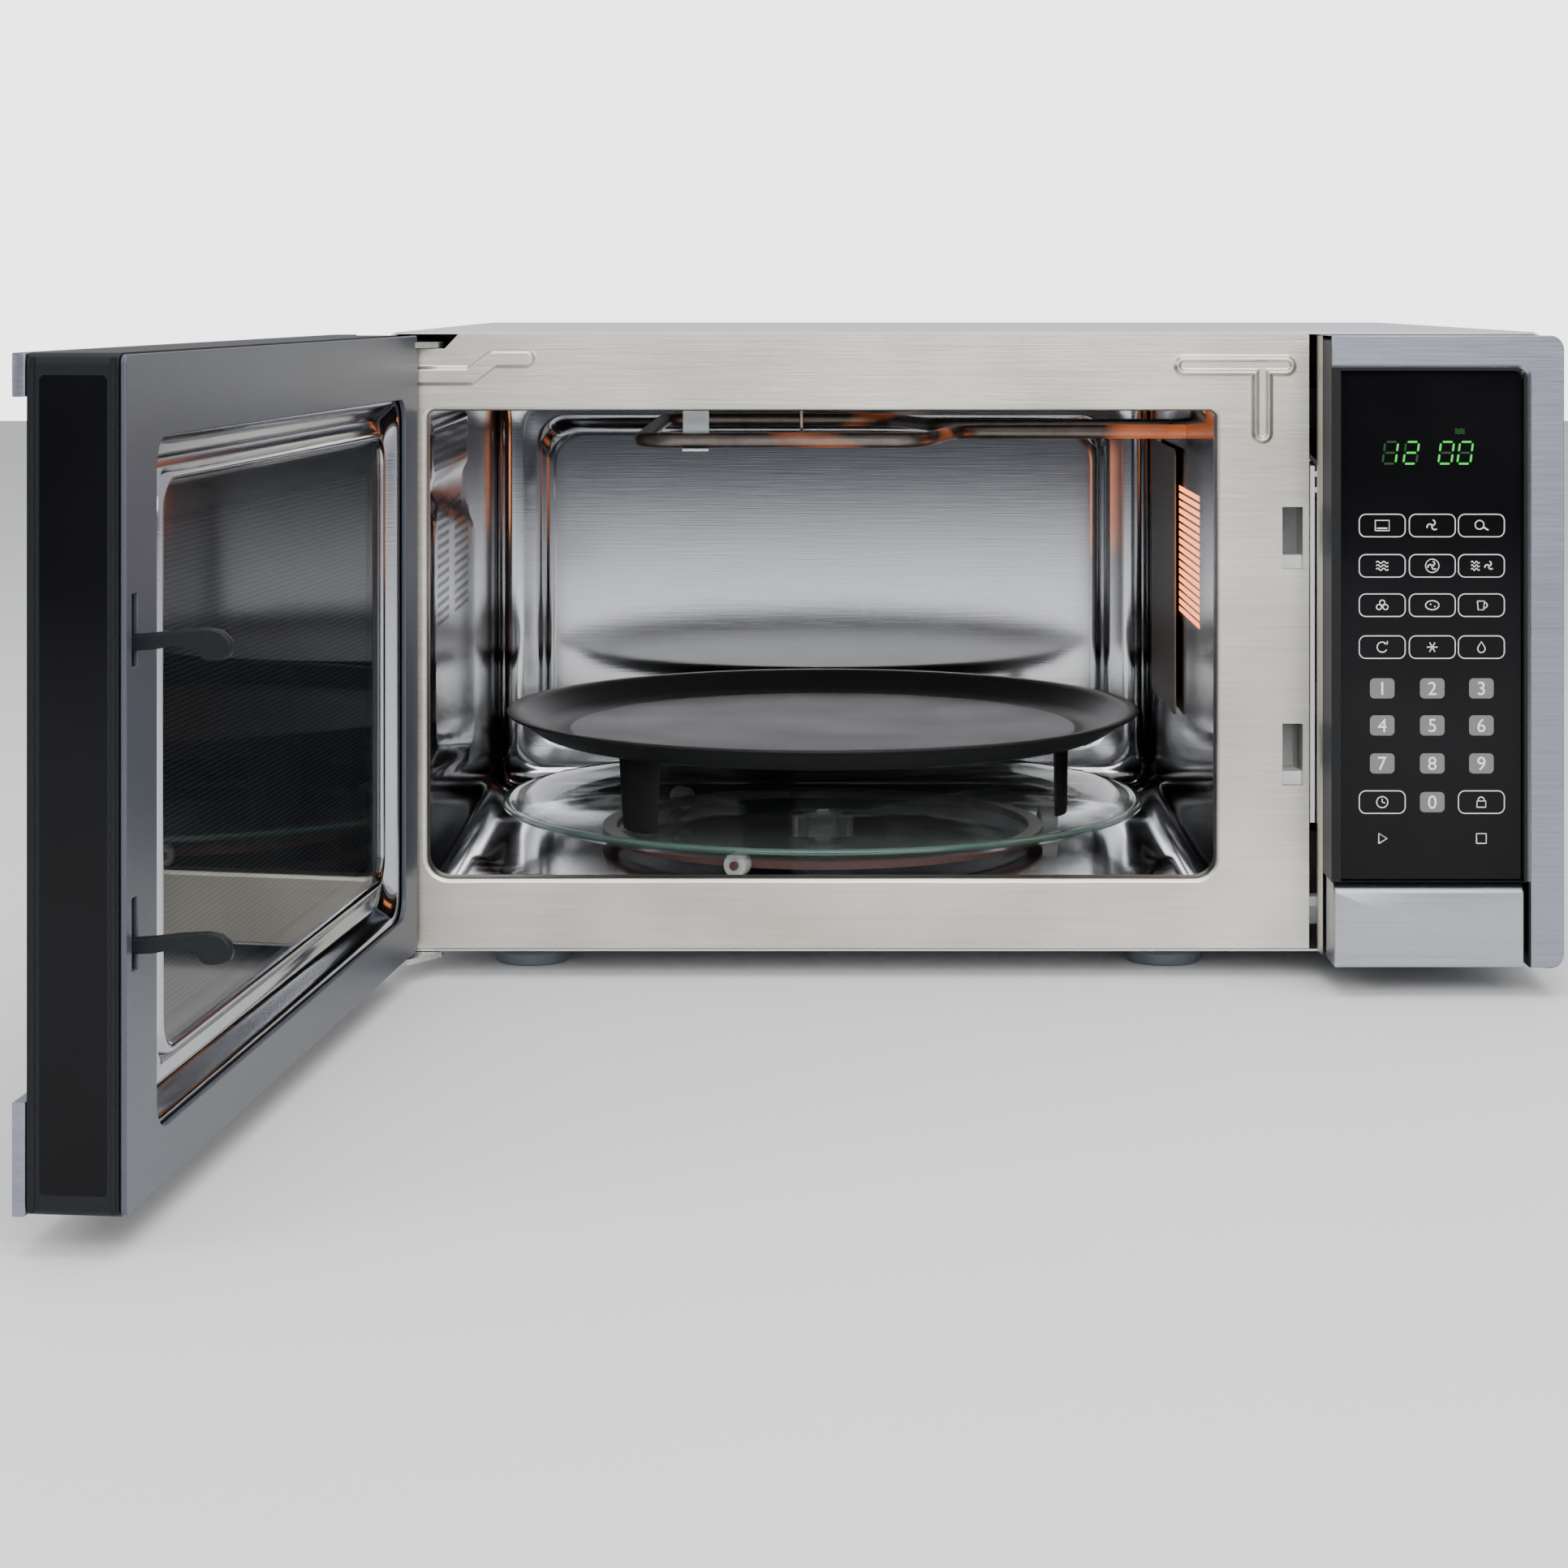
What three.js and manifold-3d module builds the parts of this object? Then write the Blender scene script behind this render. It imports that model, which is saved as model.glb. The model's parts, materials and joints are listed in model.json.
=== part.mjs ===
// Countertop microwave oven with grill, convection fan and turntable, shown with its door open.
// Millimetres, +Z up, the front towards -Y. While the pieces are laid out, x = 0 is the middle of
// the cabinet, y = 0 the front of the front plate and z = 0 the surface the feet stand on.
import * as THREE from 'three';
import { mergeVertices } from 'three/addons/utils/BufferGeometryUtils.js';
import Module from 'manifold-3d';

const wasm = await Module();
wasm.setup();

// ---- overall sizes ----
const cavityWidth = 357;
const cavityDepth = 349;
const cavityHeight = 225.5;
const compartmentWidth = 139;      // electronics space right of the cavity
const cavitySideSpace = 14;        // left wall of the cavity to the outside of the cabinet
const rearSpace = 50;              // behind the cavity
const underSpace = 17;             // between base plate and cavity floor
const ceilingSpace = 29;           // between cavity ceiling and top of the front plate
const footHeight = 11.2;
const footRadius = 17;
const panelWidth = 100;
const panelDepth = 41;
const doorThickness = 37;
const doorAngle = 95.5;            // how far the door stands open

// ---- sheet and wall thicknesses ----
const sheet = 1;
const plasticWall = 2.5;
const seam = 0.3;                  // gap between pieces that touch

// ---- cavity opening, turntable and pan ----
const openingInset = 4;
const openingTopInset = 5;
const sillHeight = 13.5;           // front lip above the cavity floor
const traySideGap = 19;            // tray rim to the walls
const trayFrontGap = 24;
const trayRearGap = 6;
const trayThickness = 5;
const trayRimHeight = 4.5;
const panInset = 2;                // pan rim inside the tray rim
const panLift = 42;                // pan floor above the bottom of the tray
const panRimHeight = 12;
const panWall = 1.4;
const wheelRadius = 5.7;
const wheelWidth = 9;
const wheelAngles = [10, 130, 250];
const legAngles = [104.5, 224.5, 344.5];
const tubeRadius = 3.4;            // grill element
const elementDrop = 21;            // below the ceiling

// ---- door furniture ----
const pinRadius = 2.5;
const pinClearance = 0.25;
const hookThickness = 3.5;
const hookReach = 32;
const hookAboveFloor = 64;         // underside of the lower hook's arm
const hookBelowCeiling = 65.5;     // underside of the upper hook's arm
const hookArm = 7;
const hookDrop = 3;                // head below the root of the arm
const hookLean = 4;                // rise of the arm towards its tip
const slotWidth = 9;
const slotRise = 11;               // slot above the hook's arm
const slotDrop = 9.5;              // slot below it
const latchTravel = 6;
const recessDepth = 8;

// ---- control panel ----
const glassRecess = 5;
const glassThickness = 3;
const topStrip = 15.5;
const sideStrip = 17.3;
const buttonHeight = 36;
const buttonTravel = 5;
const wedgeTip = 12;               // y of the tip of the button's wedge
const wedgeLength = 8;
const wedgeGap = 0.5;
const sliderBack = 38;

// ---- places worked out from the sizes ----
const left = -(cavitySideSpace + cavityWidth + compartmentWidth + 2 * sheet) / 2;
const right = -left;
const baseBottom = footHeight + seam;
const baseTop = baseBottom + sheet;
const plateBottom = baseTop + 0.5;
const floorZ = baseTop + underSpace + sheet;
const ceilingZ = floorZ + cavityHeight;
const plateTop = ceilingZ + ceilingSpace;
const cavityLeft = left + cavitySideSpace;
const cavityRight = cavityLeft + cavityWidth;
const cavityMidX = (cavityLeft + cavityRight) / 2;
const cavityFront = sheet + seam;
const cavityBack = cavityFront + cavityDepth;
const trayRadius = Math.min(cavityWidth / 2 - traySideGap, (cavityDepth - trayFrontGap - trayRearGap) / 2);
const trayY = cavityFront + trayFrontGap + trayRadius;
const cabinetBack = cavityBack + rearSpace;
const coverTop = plateTop + sheet;
const panelLeft = right - panelWidth;
const openLeft = cavityLeft + openingInset;
const openRight = cavityRight - openingInset;
const openBottom = floorZ + sillHeight;
const openTop = ceilingZ - openingTopInset;
const trayBottom = floorZ + 2 * wheelRadius + 2 * seam;
const panBottom = trayBottom + panLift;
const latchX = panelLeft - 11;
const hookHeights = [floorZ + hookAboveFloor, ceilingZ - hookBelowCeiling];
const bayLeft = cavityRight + sheet + seam;
const pivot = new THREE.Vector3(left + 6, -11, 0);

const finishes = {
  brushed: paint(0xd3d0c4, 0.32, 1),
  cool: paint(0x9aa0aa, 0.3, 1),
  mirror: paint(0xc9c9c4, 0.12, 1),
  cover: paint(0xd8d8d6, 0.45, 0.4),
  zinc: paint(0xb8bcc0, 0.35, 1),
  black: paint(0x0b0c0d, 0.35, 0),
  blackGlass: paint(0x050505, 0.06, 0),
  choke: paint(0x5f676e, 0.4, 0.2),
  rubber: paint(0x70787e, 0.7, 0),
  pan: paint(0x19191b, 0.45, 0.1),
  glass: paint(0xbcd0c4, 0.05, 0),
  ring: paint(0x6e5050, 0.6, 0),
  white: paint(0xeeeae2, 0.5, 0),
  element: paint(0x46413c, 0.5, 0.7),
  mica: paint(0x8d8578, 0.7, 0),
  copper: paint(0xb06a3c, 0.4, 0.9),
  board: paint(0x2e6b46, 0.6, 0),
  core: paint(0x50545a, 0.5, 0.8),
};

function paint(color, roughness, metalness) {
  return new THREE.MeshStandardMaterial({ color, roughness, metalness });
}

// ---- turning three.js shapes into solids that can be cut and joined ----
function solid(geometry) {
  const bare = geometry.index ? geometry.clone() : geometry;
  bare.deleteAttribute('normal');
  bare.deleteAttribute('uv');
  const merged = mergeVertices(bare, 1e-4);
  return new wasm.Manifold(new wasm.Mesh({
    numProp: 3,
    vertProperties: new Float32Array(merged.attributes.position.array),
    triVerts: new Uint32Array(merged.index.array),
  }));
}

function geometryOf(body) {
  const cut = body.getMesh();
  const geometry = new THREE.BufferGeometry();
  geometry.setAttribute('position', new THREE.BufferAttribute(new Float32Array(cut.vertProperties), 3));
  geometry.setIndex(new THREE.BufferAttribute(new Uint32Array(cut.triVerts), 1));
  geometry.computeVertexNormals();
  return geometry;
}

function piece(name, shape, finish) {
  const geometry = shape.isBufferGeometry ? shape : geometryOf(shape);
  const mesh = new THREE.Mesh(geometry, finish);
  mesh.name = name;
  return mesh;
}

// A block between two corners.
function block(x0, x1, y0, y1, z0, z1) {
  const shape = new THREE.BoxGeometry(x1 - x0, y1 - y0, z1 - z0);
  return solid(shape.translate((x0 + x1) / 2, (y0 + y1) / 2, (z0 + z1) / 2));
}

// A rounded rectangle in the plane of an extrusion, each corner with its own radius.
function roundedOutline(a0, a1, b0, b1, lower, upper = lower) {
  const outline = new THREE.Shape();
  outline.moveTo(a0 + lower, b0);
  outline.lineTo(a1 - lower, b0);
  outline.absarc(a1 - lower, b0 + lower, lower, -Math.PI / 2, 0, false);
  outline.absarc(a1 - upper, b1 - upper, upper, 0, Math.PI / 2, false);
  outline.absarc(a0 + upper, b1 - upper, upper, Math.PI / 2, Math.PI, false);
  outline.absarc(a0 + lower, b0 + lower, lower, Math.PI, 1.5 * Math.PI, false);
  return outline;
}

// An outline in x and z carried along y, from y0 to y1.
function alongY(outline, y0, y1, curveSegments = 4) {
  const shape = new THREE.ExtrudeGeometry(outline, { depth: y1 - y0, bevelEnabled: false, curveSegments });
  return solid(shape.rotateX(Math.PI / 2).translate(0, y1, 0));
}

// An outline in x and y carried up z, from z0 to z1.
function alongZ(outline, z0, z1, curveSegments = 4) {
  const shape = new THREE.ExtrudeGeometry(outline, { depth: z1 - z0, bevelEnabled: false, curveSegments });
  return solid(shape.translate(0, 0, z0));
}

function panelWithRadius(x0, x1, y0, y1, z0, z1, lower, upper) {
  return alongY(roundedOutline(x0, x1, z0, z1, lower, upper), y0, y1);
}

// A round bar whose axis runs along x, y or z.
function bar(axis, radius, length, x, y, z, sides = 16) {
  const shape = new THREE.CylinderGeometry(radius, radius, length, sides);
  if (axis === 'x') shape.rotateZ(Math.PI / 2);
  if (axis === 'z') shape.rotateX(Math.PI / 2);
  return solid(shape.translate(x, y, z));
}

// A profile of radius and height turned about a vertical axis.
function turned(profile, x, y, z, segments) {
  const points = profile.map(([r, h]) => new THREE.Vector2(r, h));
  const shape = new THREE.LatheGeometry(points, segments);
  return solid(shape.rotateX(Math.PI / 2).translate(x, y, z));
}

// Evenly spaced blocks taken out of a wall.
function cutRow(body, count, makeCut) {
  let result = body;
  for (let i = 0; i < count; i += 1) result = result.subtract(makeCut(i));
  return result;
}

function polar(radius, degrees, x, y) {
  const angle = THREE.MathUtils.degToRad(degrees);
  return [x + radius * Math.cos(angle), y + radius * Math.sin(angle)];
}

// ---- cabinet: sheet-metal case ----
const ventPitch = 9;
const ventOpening = 3;
const ventLength = 34;

function basePlate() {
  const x0 = left + sheet + seam;
  const floor = block(x0, -x0, cavityFront, cabinetBack - sheet - seam, baseBottom, baseTop);
  const flange = block(x0, x0 + sheet, cavityFront + 2, cabinetBack - 8, baseBottom, baseTop + 10);
  const other = block(-x0 - sheet, -x0, cavityFront + 2, cabinetBack - 8, baseBottom, baseTop + 10);
  return floor.add(flange).add(other);
}

function outerCover() {
  const corner = 5;
  const outer = alongY(roundedOutline(left, right, baseBottom - 20, coverTop, 1, corner), cavityFront, cabinetBack);
  const inner = alongY(
    roundedOutline(left + sheet, right - sheet, baseBottom - 30, coverTop - sheet, 1, corner - sheet),
    cavityFront - 1, cabinetBack + 1);
  const below = block(left - 1, right + 1, 0, cabinetBack + 1, -40, baseBottom);
  const vented = outer.subtract(inner).subtract(below);
  const ventY = cabinetBack - 40;
  return cutRow(vented, 12, (i) => {
    const x0 = i < 6 ? left - 1 : right - 3;
    const z = floorZ + 40 + (i % 6) * ventPitch * 2;
    return block(x0, x0 + 4, ventY - ventLength, ventY, z, z + ventOpening);
  });
}

function rearPlate() {
  const y0 = cabinetBack - sheet;
  const x0 = left + sheet + seam;
  const plate = panelWithRadius(x0, -x0, y0, cabinetBack, baseTop + 1, plateTop - seam, 1, 4);
  const inletHole = bar('y', glandRadius + seam, 10, glandX, cabinetBack, glandZ);
  return cutRow(plate.subtract(inletHole), 9, (i) => {
    const z = fanZ - 36 + i * ventPitch;
    return block(fanX - 40, fanX + 40, y0 - 1, cabinetBack + 1, z, z + ventOpening);
  });
}

function frontPlate() {
  const x1 = panelLeft - 3.7;
  const x0 = left + 2;
  const skin = block(x0, x1, 0, sheet, plateBottom, plateTop);
  const topFlange = block(x0 + 24, x1, 0, 14, plateTop - sheet, plateTop);
  const opening = panelWithRadius(openLeft, openRight, -1, 2 * sheet, openBottom, openTop, 9.5, 3);
  const hingeNotch = block(x0 - 1, x0 + 24, -1, 20, upperArmBottom - seam, plateTop + 1);
  return hookHeights.reduce(
    (plate, z) => plate.subtract(block(latchX - slotWidth / 2, latchX + slotWidth / 2, -1, 2,
      z - slotDrop, z + hookArm + slotRise)),
    skin.add(topFlange).subtract(opening).subtract(hingeNotch));
}

function foot(x, y) {
  const profile = [[0, 0], [footRadius - 3, 0], [footRadius - 1, 2], [footRadius, footHeight], [0, footHeight]];
  return turned(profile, x, y, 0, 20);
}

// ---- cavity ----
const grilleY = 97;
const grilleLength = 88;
const grilleBottom = floorZ + 112.5;
const grilleHeight = 64;
const portY = cavityBack - 145;
const portLength = 66;
const portBottom = floorZ + 81.5;
const portHeight = 70;

function cavityLiner() {
  const outer = panelWithRadius(cavityLeft - sheet, cavityRight + sheet, cavityFront, cavityBack + sheet,
    floorZ - sheet, ceilingZ + sheet, 13, 5);
  const inner = panelWithRadius(cavityLeft, cavityRight, cavityFront - 1, cavityBack, floorZ, ceilingZ, 12, 4);
  const shaftHole = bar('z', shaftRadius + 3, 8, cavityMidX, trayY, floorZ);
  const port = block(cavityRight - 2, cavityRight + 3, portY, portY + portLength, portBottom, portBottom + portHeight);
  const grilled = cutRow(outer.subtract(inner).subtract(shaftHole).subtract(port), 8, (i) => {
    const z = grilleBottom + i * 8;
    return block(cavityRight - 2, cavityRight + 3, grilleY, grilleY + grilleLength, z, z + ventOpening);
  });
  return cutRow(grilled, 6, (i) => {
    const y = cavityFront + 40 + i * 24;
    return block(cavityLeft - 3, cavityLeft + 2, y, y + ventOpening, grilleBottom, grilleBottom + grilleHeight - 8);
  });
}

function waveguideCover() {
  const x1 = cavityRight - 2;
  return panelWithRadiusX(x1 - 0.8, x1, portY - 24, portY + 90, portBottom - 20, elementZ - 10, 4);
}

// An outline of y and z points carried along x, from x0 to x1.
function sideways(points, x0, x1) {
  const outline = new THREE.Shape(points.map(([y, z]) => new THREE.Vector2(y, z)));
  const shape = new THREE.ExtrudeGeometry(outline, { depth: x1 - x0, bevelEnabled: false });
  return solid(shape.rotateX(Math.PI / 2).rotateZ(Math.PI / 2).translate(x0, 0, 0));
}

// A rounded plate that faces sideways.
function panelWithRadiusX(x0, x1, y0, y1, z0, z1, radius) {
  const outline = roundedOutline(y0, y1, z0, z1, radius);
  const shape = new THREE.ExtrudeGeometry(outline, { depth: x1 - x0, bevelEnabled: false, curveSegments: 3 });
  return solid(shape.rotateX(Math.PI / 2).rotateZ(Math.PI / 2).translate(x0, 0, 0));
}

// The grill element: one sheathed tube laid out in a flat loop under the ceiling.
const elementZ = ceilingZ - elementDrop;
const elementLeft = cavityLeft + 94;
const elementFront = 63;
const elementRear = cavityBack - 54;

function grillPath() {
  const end = cavityRight - seam;
  const stops = [
    [end, 153], [cavityMidX + 66, 153], [cavityMidX + 46, elementFront], [elementLeft, elementFront],
    [elementLeft, elementRear], [cavityMidX + 34, elementRear], [cavityMidX + 60, 224], [end, 224],
  ];
  const corners = stops.map(([x, y]) => new THREE.Vector3(x, y, elementZ));
  const bend = 14;
  const path = new THREE.CurvePath();
  let from = corners[0];
  for (let i = 1; i < corners.length - 1; i += 1) {
    const into = corners[i].clone().sub(corners[i - 1]).normalize();
    const out = corners[i + 1].clone().sub(corners[i]).normalize();
    const start = corners[i].clone().addScaledVector(into, -bend);
    const stop = corners[i].clone().addScaledVector(out, bend);
    path.add(new THREE.LineCurve3(from, start));
    path.add(new THREE.QuadraticBezierCurve3(start, corners[i], stop));
    from = stop;
  }
  path.add(new THREE.LineCurve3(from, corners[corners.length - 1]));
  return path;
}

function grillElement() {
  const section = new THREE.Shape();
  section.absarc(0, 0, tubeRadius, 0, 2 * Math.PI, false);
  return solid(new THREE.ExtrudeGeometry(section,
    { steps: 76, extrudePath: grillPath(), bevelEnabled: false, curveSegments: 4 }));
}

// A strap hung from the ceiling with the element lying in its hook.
function elementHanger(x, y, width) {
  const reach = tubeRadius + seam;
  const stem = block(x, x + width, y + reach, y + reach + 1.2, elementZ - reach - 1.2, ceilingZ - seam);
  const shelf = block(x, x + width, y - reach, y + reach + 1.2, elementZ - reach - 1.2, elementZ - reach);
  return stem.add(shelf);
}

// ---- turntable ----
const shaftRadius = 4;
const ringRadius = trayRadius - 53;
const ringSection = 7;
const wheelRing = ringRadius + ringSection / 2 + 1 + wheelWidth / 2;

function driveCoupler() {
  const lift = trayBottom - floorZ - seam;
  const hub = turned([[0, -6], [shaftRadius, -6], [shaftRadius, 1], [9, 1], [9, lift], [0, lift]],
    cavityMidX, trayY, floorZ, 18);
  return [90, 210, 330].reduce((body, angle) => {
    const arm = new THREE.BoxGeometry(16, 6, lift - 2).translate(8, 0, (lift + 2) / 2);
    arm.rotateZ(THREE.MathUtils.degToRad(angle)).translate(cavityMidX, trayY, floorZ);
    return body.add(solid(arm));
  }, hub);
}

function glassTray() {
  const r = trayRadius;
  return turned([[0, 0], [r - 22, 0], [r - 6, 3], [r, trayThickness + trayRimHeight - 2],
    [r - 1, trayThickness + trayRimHeight], [r - 5, trayThickness + trayRimHeight],
    [r - 11, trayThickness + 1], [r - 24, trayThickness], [0, trayThickness]],
  cavityMidX, trayY, trayBottom, 48);
}

function rollerRing() {
  const half = ringSection / 2;
  const z0 = wheelRadius - 2;
  const band = turned([[ringRadius - half, z0], [ringRadius + half, z0], [ringRadius + half, z0 + 4],
    [ringRadius - half, z0 + 4], [ringRadius - half, z0]], cavityMidX, trayY, floorZ, 48);
  return wheelAngles.reduce((body, angle) => {
    const stub = new THREE.CylinderGeometry(1.5, 1.5, wheelWidth + 3, 10).rotateZ(Math.PI / 2);
    stub.translate(ringRadius + half + wheelWidth / 2, 0, 0);
    stub.rotateZ(THREE.MathUtils.degToRad(angle)).translate(cavityMidX, trayY, floorZ + wheelRadius + seam);
    return body.add(solid(stub));
  }, band);
}

function roller(angle) {
  const bore = 1.5 + seam;
  const edge = wheelRadius - 0.8;
  const half = wheelWidth / 2;
  const points = [[bore, -half], [edge, -half], [wheelRadius, -half + 0.8], [wheelRadius, half - 0.8],
    [edge, half], [bore, half], [bore, -half]].map(([r, h]) => new THREE.Vector2(r, h));
  const wheel = new THREE.LatheGeometry(points, 20).rotateZ(-Math.PI / 2).translate(wheelRing, 0, 0);
  wheel.rotateZ(THREE.MathUtils.degToRad(angle)).translate(cavityMidX, trayY, floorZ + wheelRadius + seam);
  return solid(wheel);
}

const legRadius = trayRadius - 38;
const legThickness = 2;

function crisperPan() {
  const r = trayRadius - panInset;
  const w = panWall;
  return turned([[0, 0], [r - 14, 0], [r - 2, panRimHeight - 2], [r, panRimHeight - 1], [r, panRimHeight],
    [r - 3, panRimHeight], [r - 14 - w, w], [0, w]], cavityMidX, trayY, panBottom, 48);
}

// A tapered flat leg that stands on the tray and carries the pan.
function panLeg(angle) {
  const z0 = trayBottom + trayThickness + seam;
  const height = panBottom - seam - z0;
  const outline = new THREE.Shape();
  outline.moveTo(-12, 0);
  outline.lineTo(12, 0);
  outline.lineTo(15, height);
  outline.lineTo(-15, height);
  const blade = new THREE.ExtrudeGeometry(outline, { depth: legThickness, bevelEnabled: false });
  blade.rotateX(Math.PI / 2).translate(0, legThickness / 2, 0).rotateZ(Math.PI / 2);
  const [x, y] = polar(legRadius, angle, cavityMidX, trayY);
  blade.rotateZ(THREE.MathUtils.degToRad(angle)).translate(x, y, z0);
  return solid(blade);
}

// ---- machinery in the right-hand bay and behind the cavity ----
const fanX = bayLeft + 66;
const fanZ = floorZ + 150;
const fanRadius = 38;
const fanPlane = cabinetBack - 24;
const glandRadius = 8;
const glandX = right - 40;
const glandZ = baseTop + 34;
const stirX = bayLeft + 18;
const stirY = grilleY + grilleLength / 2;
const stirZ = grilleBottom + grilleHeight / 2;
const stirRadius = 34;

function interlockBracket() {
  const y0 = sheet + seam;
  const z0 = hookHeights[0] - 26;
  const z1 = hookHeights[1] + 36;
  const x0 = latchX - 8;
  const x1 = latchX + 10;
  const outer = block(x0, x1, y0, 44, z0, z1);
  const inner = block(x0 + 2, x1 - 2, y0 - 1, 42, z0 - 1, z1 + 1);
  const ledges = hookHeights.map((z) => block(x0, x1, y0 + 4, y0 + 12, z - slotDrop, z - hookDrop - 0.8));
  return ledges.reduce((body, ledge) => body.add(ledge), outer.subtract(inner));
}

function microSwitch(z) {
  const x1 = latchX - 8 - seam;
  const box = block(x1 - 10.3, x1, 12, 40, z, z + 16);
  return box.add(block(x1 - 7, x1 - 3, 8, 12, z + 5, z + 7));
}

function waveguide() {
  const x1 = bayLeft + 34;
  const outer = block(bayLeft, x1, portY - 4, portY + portLength + 18, portBottom - 4, portBottom + portHeight + 4);
  const hollow = block(bayLeft - 1, x1 - sheet, portY - 3, portY + portLength + 17, portBottom - 3,
    portBottom + portHeight + 3);
  return outer.subtract(hollow).subtract(bar('x', 11, 10, x1, portY + 34, portBottom + 35));
}

function magnetron() {
  const x0 = bayLeft + 34 + seam;
  const y = portY + 34;
  const z = portBottom + 35;
  const body = block(x0, x0 + 84, y - 44, y + 44, z - 40, z + 40);
  const hollow = cutRow(body, 7, (i) => block(x0 + 12 + i * 9, x0 + 17 + i * 9, y - 36, y + 36, z - 50, z + 50));
  const antenna = bar('x', 8, 20, x0 - 6, y, z);
  const lead = block(x0 + 84 - 1, x0 + 84 + 16, y - 18, y + 18, z - 14, z + 14);
  return hollow.add(antenna).add(lead);
}

function transformer() {
  const x0 = bayLeft + 16;
  const y0 = 62;
  const z0 = baseTop + seam;
  const core = block(x0, x0 + 92, y0, y0 + 84, z0 + 14, z0 + 84);
  const foot1 = block(x0 - 4, x0 + 96, y0 + 4, y0 + 80, z0, z0 + 14);
  const coilA = block(x0 + 16, x0 + 76, y0 - 14, y0 + 98, z0 + 22, z0 + 44);
  const coilB = block(x0 + 16, x0 + 76, y0 - 12, y0 + 96, z0 + 52, z0 + 78);
  return core.add(foot1).add(coilA).add(coilB);
}

function capacitor() {
  const outline = new THREE.Shape();
  outline.absarc(0, 0, 17, Math.PI / 2, 1.5 * Math.PI, false);
  outline.absarc(20, 0, 17, -Math.PI / 2, Math.PI / 2, false);
  const can = alongZ(outline, 0, 74, 8);
  const posts = bar('z', 3, 14, 0, 0, 79, 8).add(bar('z', 3, 14, 20, 0, 79, 8));
  return can.add(posts).translate([bayLeft + 44, portY + 9, baseTop + seam]);
}

function fanShroud() {
  const y1 = cabinetBack - sheet - seam;
  const half = fanRadius + 8;
  const outer = block(fanX - half, fanX + half, y1 - 36, y1, fanZ - half, fanZ + half);
  return outer.subtract(bar('y', fanRadius + 3, 60, fanX, y1 - 20, fanZ, 28));
}

// Blades set at an angle round a hub; the axis runs along y and is turned afterwards.
function bladedWheel(radius, hub, width, count, pitchDegrees) {
  const core = bar('y', hub, width, 0, 0, 0, 16);
  let wheel = core;
  for (let i = 0; i < count; i += 1) {
    const blade = new THREE.BoxGeometry(radius - hub + 2, 1.6, width * 1.6);
    blade.rotateX(THREE.MathUtils.degToRad(pitchDegrees)).translate((radius + hub) / 2 - 2, 0, 0);
    wheel = wheel.add(solid(blade.rotateY((2 * Math.PI * i) / count)));
  }
  return wheel;
}

function coolingFan() {
  return bladedWheel(fanRadius, 12, 12, 5, 35).translate([fanX, fanPlane, fanZ]);
}

function coolingFanMotor() {
  const front = fanPlane - 6 - 2;
  const can = bar('y', 20, 34, fanX, front - 17, fanZ);
  const strut = block(fanX - fanRadius - 8, fanX + fanRadius + 8, front - 18, front - 14, fanZ - 5, fanZ + 5);
  return can.add(strut);
}

function turntableMotor() {
  const z0 = baseTop + seam + 0.5;
  const can = bar('z', 24, underSpace - 2, cavityMidX, trayY, z0 + (underSpace - 2) / 2, 28);
  const tab = block(cavityMidX - 32, cavityMidX + 32, trayY - 6, trayY + 6, z0 + underSpace - 3.2, z0 + underSpace - 2);
  return can.add(tab).subtract(bar('z', shaftRadius + seam, 14, cavityMidX, trayY, floorZ - sheet, 18));
}

function convectionHousing() {
  const outer = block(bayLeft, bayLeft + 34, grilleY - 8, grilleY + grilleLength + 8, grilleBottom - 12,
    grilleBottom + grilleHeight + 12);
  const hollow = block(bayLeft - 1, bayLeft + 34 - sheet, grilleY - 7, grilleY + grilleLength + 7,
    grilleBottom - 11, grilleBottom + grilleHeight + 11);
  return outer.subtract(hollow).subtract(bar('x', 5, 10, bayLeft + 34, stirY, stirZ));
}

function convectionHeater() {
  const ring = new THREE.TorusGeometry(stirRadius + 6 - 3, 2.6, 8, 32).rotateY(Math.PI / 2);
  return solid(ring.translate(bayLeft + 6, stirY, stirZ));
}

function convectionFan() {
  const wheel = bladedWheel(stirRadius - 4, 8, 8, 8, 0).rotate([0, 0, 90]);
  const shaft = bar('x', 3, 30, 12, 0, 0, 12);
  return wheel.add(shaft).translate([stirX, stirY, stirZ]);
}

function convectionMotor() {
  const x0 = bayLeft + 34 + seam;
  const can = bar('x', 24, 30, x0 + 15 + 3, stirY, stirZ, 24);
  const plate = block(x0, x0 + 3, stirY - 30, stirY + 30, stirZ - 8, stirZ + 8);
  return can.add(plate).subtract(bar('x', 3 + seam, 40, x0, stirY, stirZ, 12));
}

function ovenLamp() {
  const z = ceilingZ - 22;
  const holder = block(bayLeft + 12, bayLeft + 30, 60, 82, z - 12, z + 12);
  return holder.add(bar('x', 8, 12, bayLeft + 8, 71, z));
}

function lineFilter() {
  const x0 = bayLeft + 8;
  const board = block(x0, x0 + 92, cabinetBack - 96, cabinetBack - 60, coverTop - 34, coverTop - 32.4);
  const coil = bar('z', 12, 14, x0 + 24, cabinetBack - 78, coverTop - 26, 20);
  const fuse = block(x0 + 50, x0 + 78, cabinetBack - 84, cabinetBack - 74, coverTop - 33, coverTop - 24);
  return board.add(coil).add(fuse);
}

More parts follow.
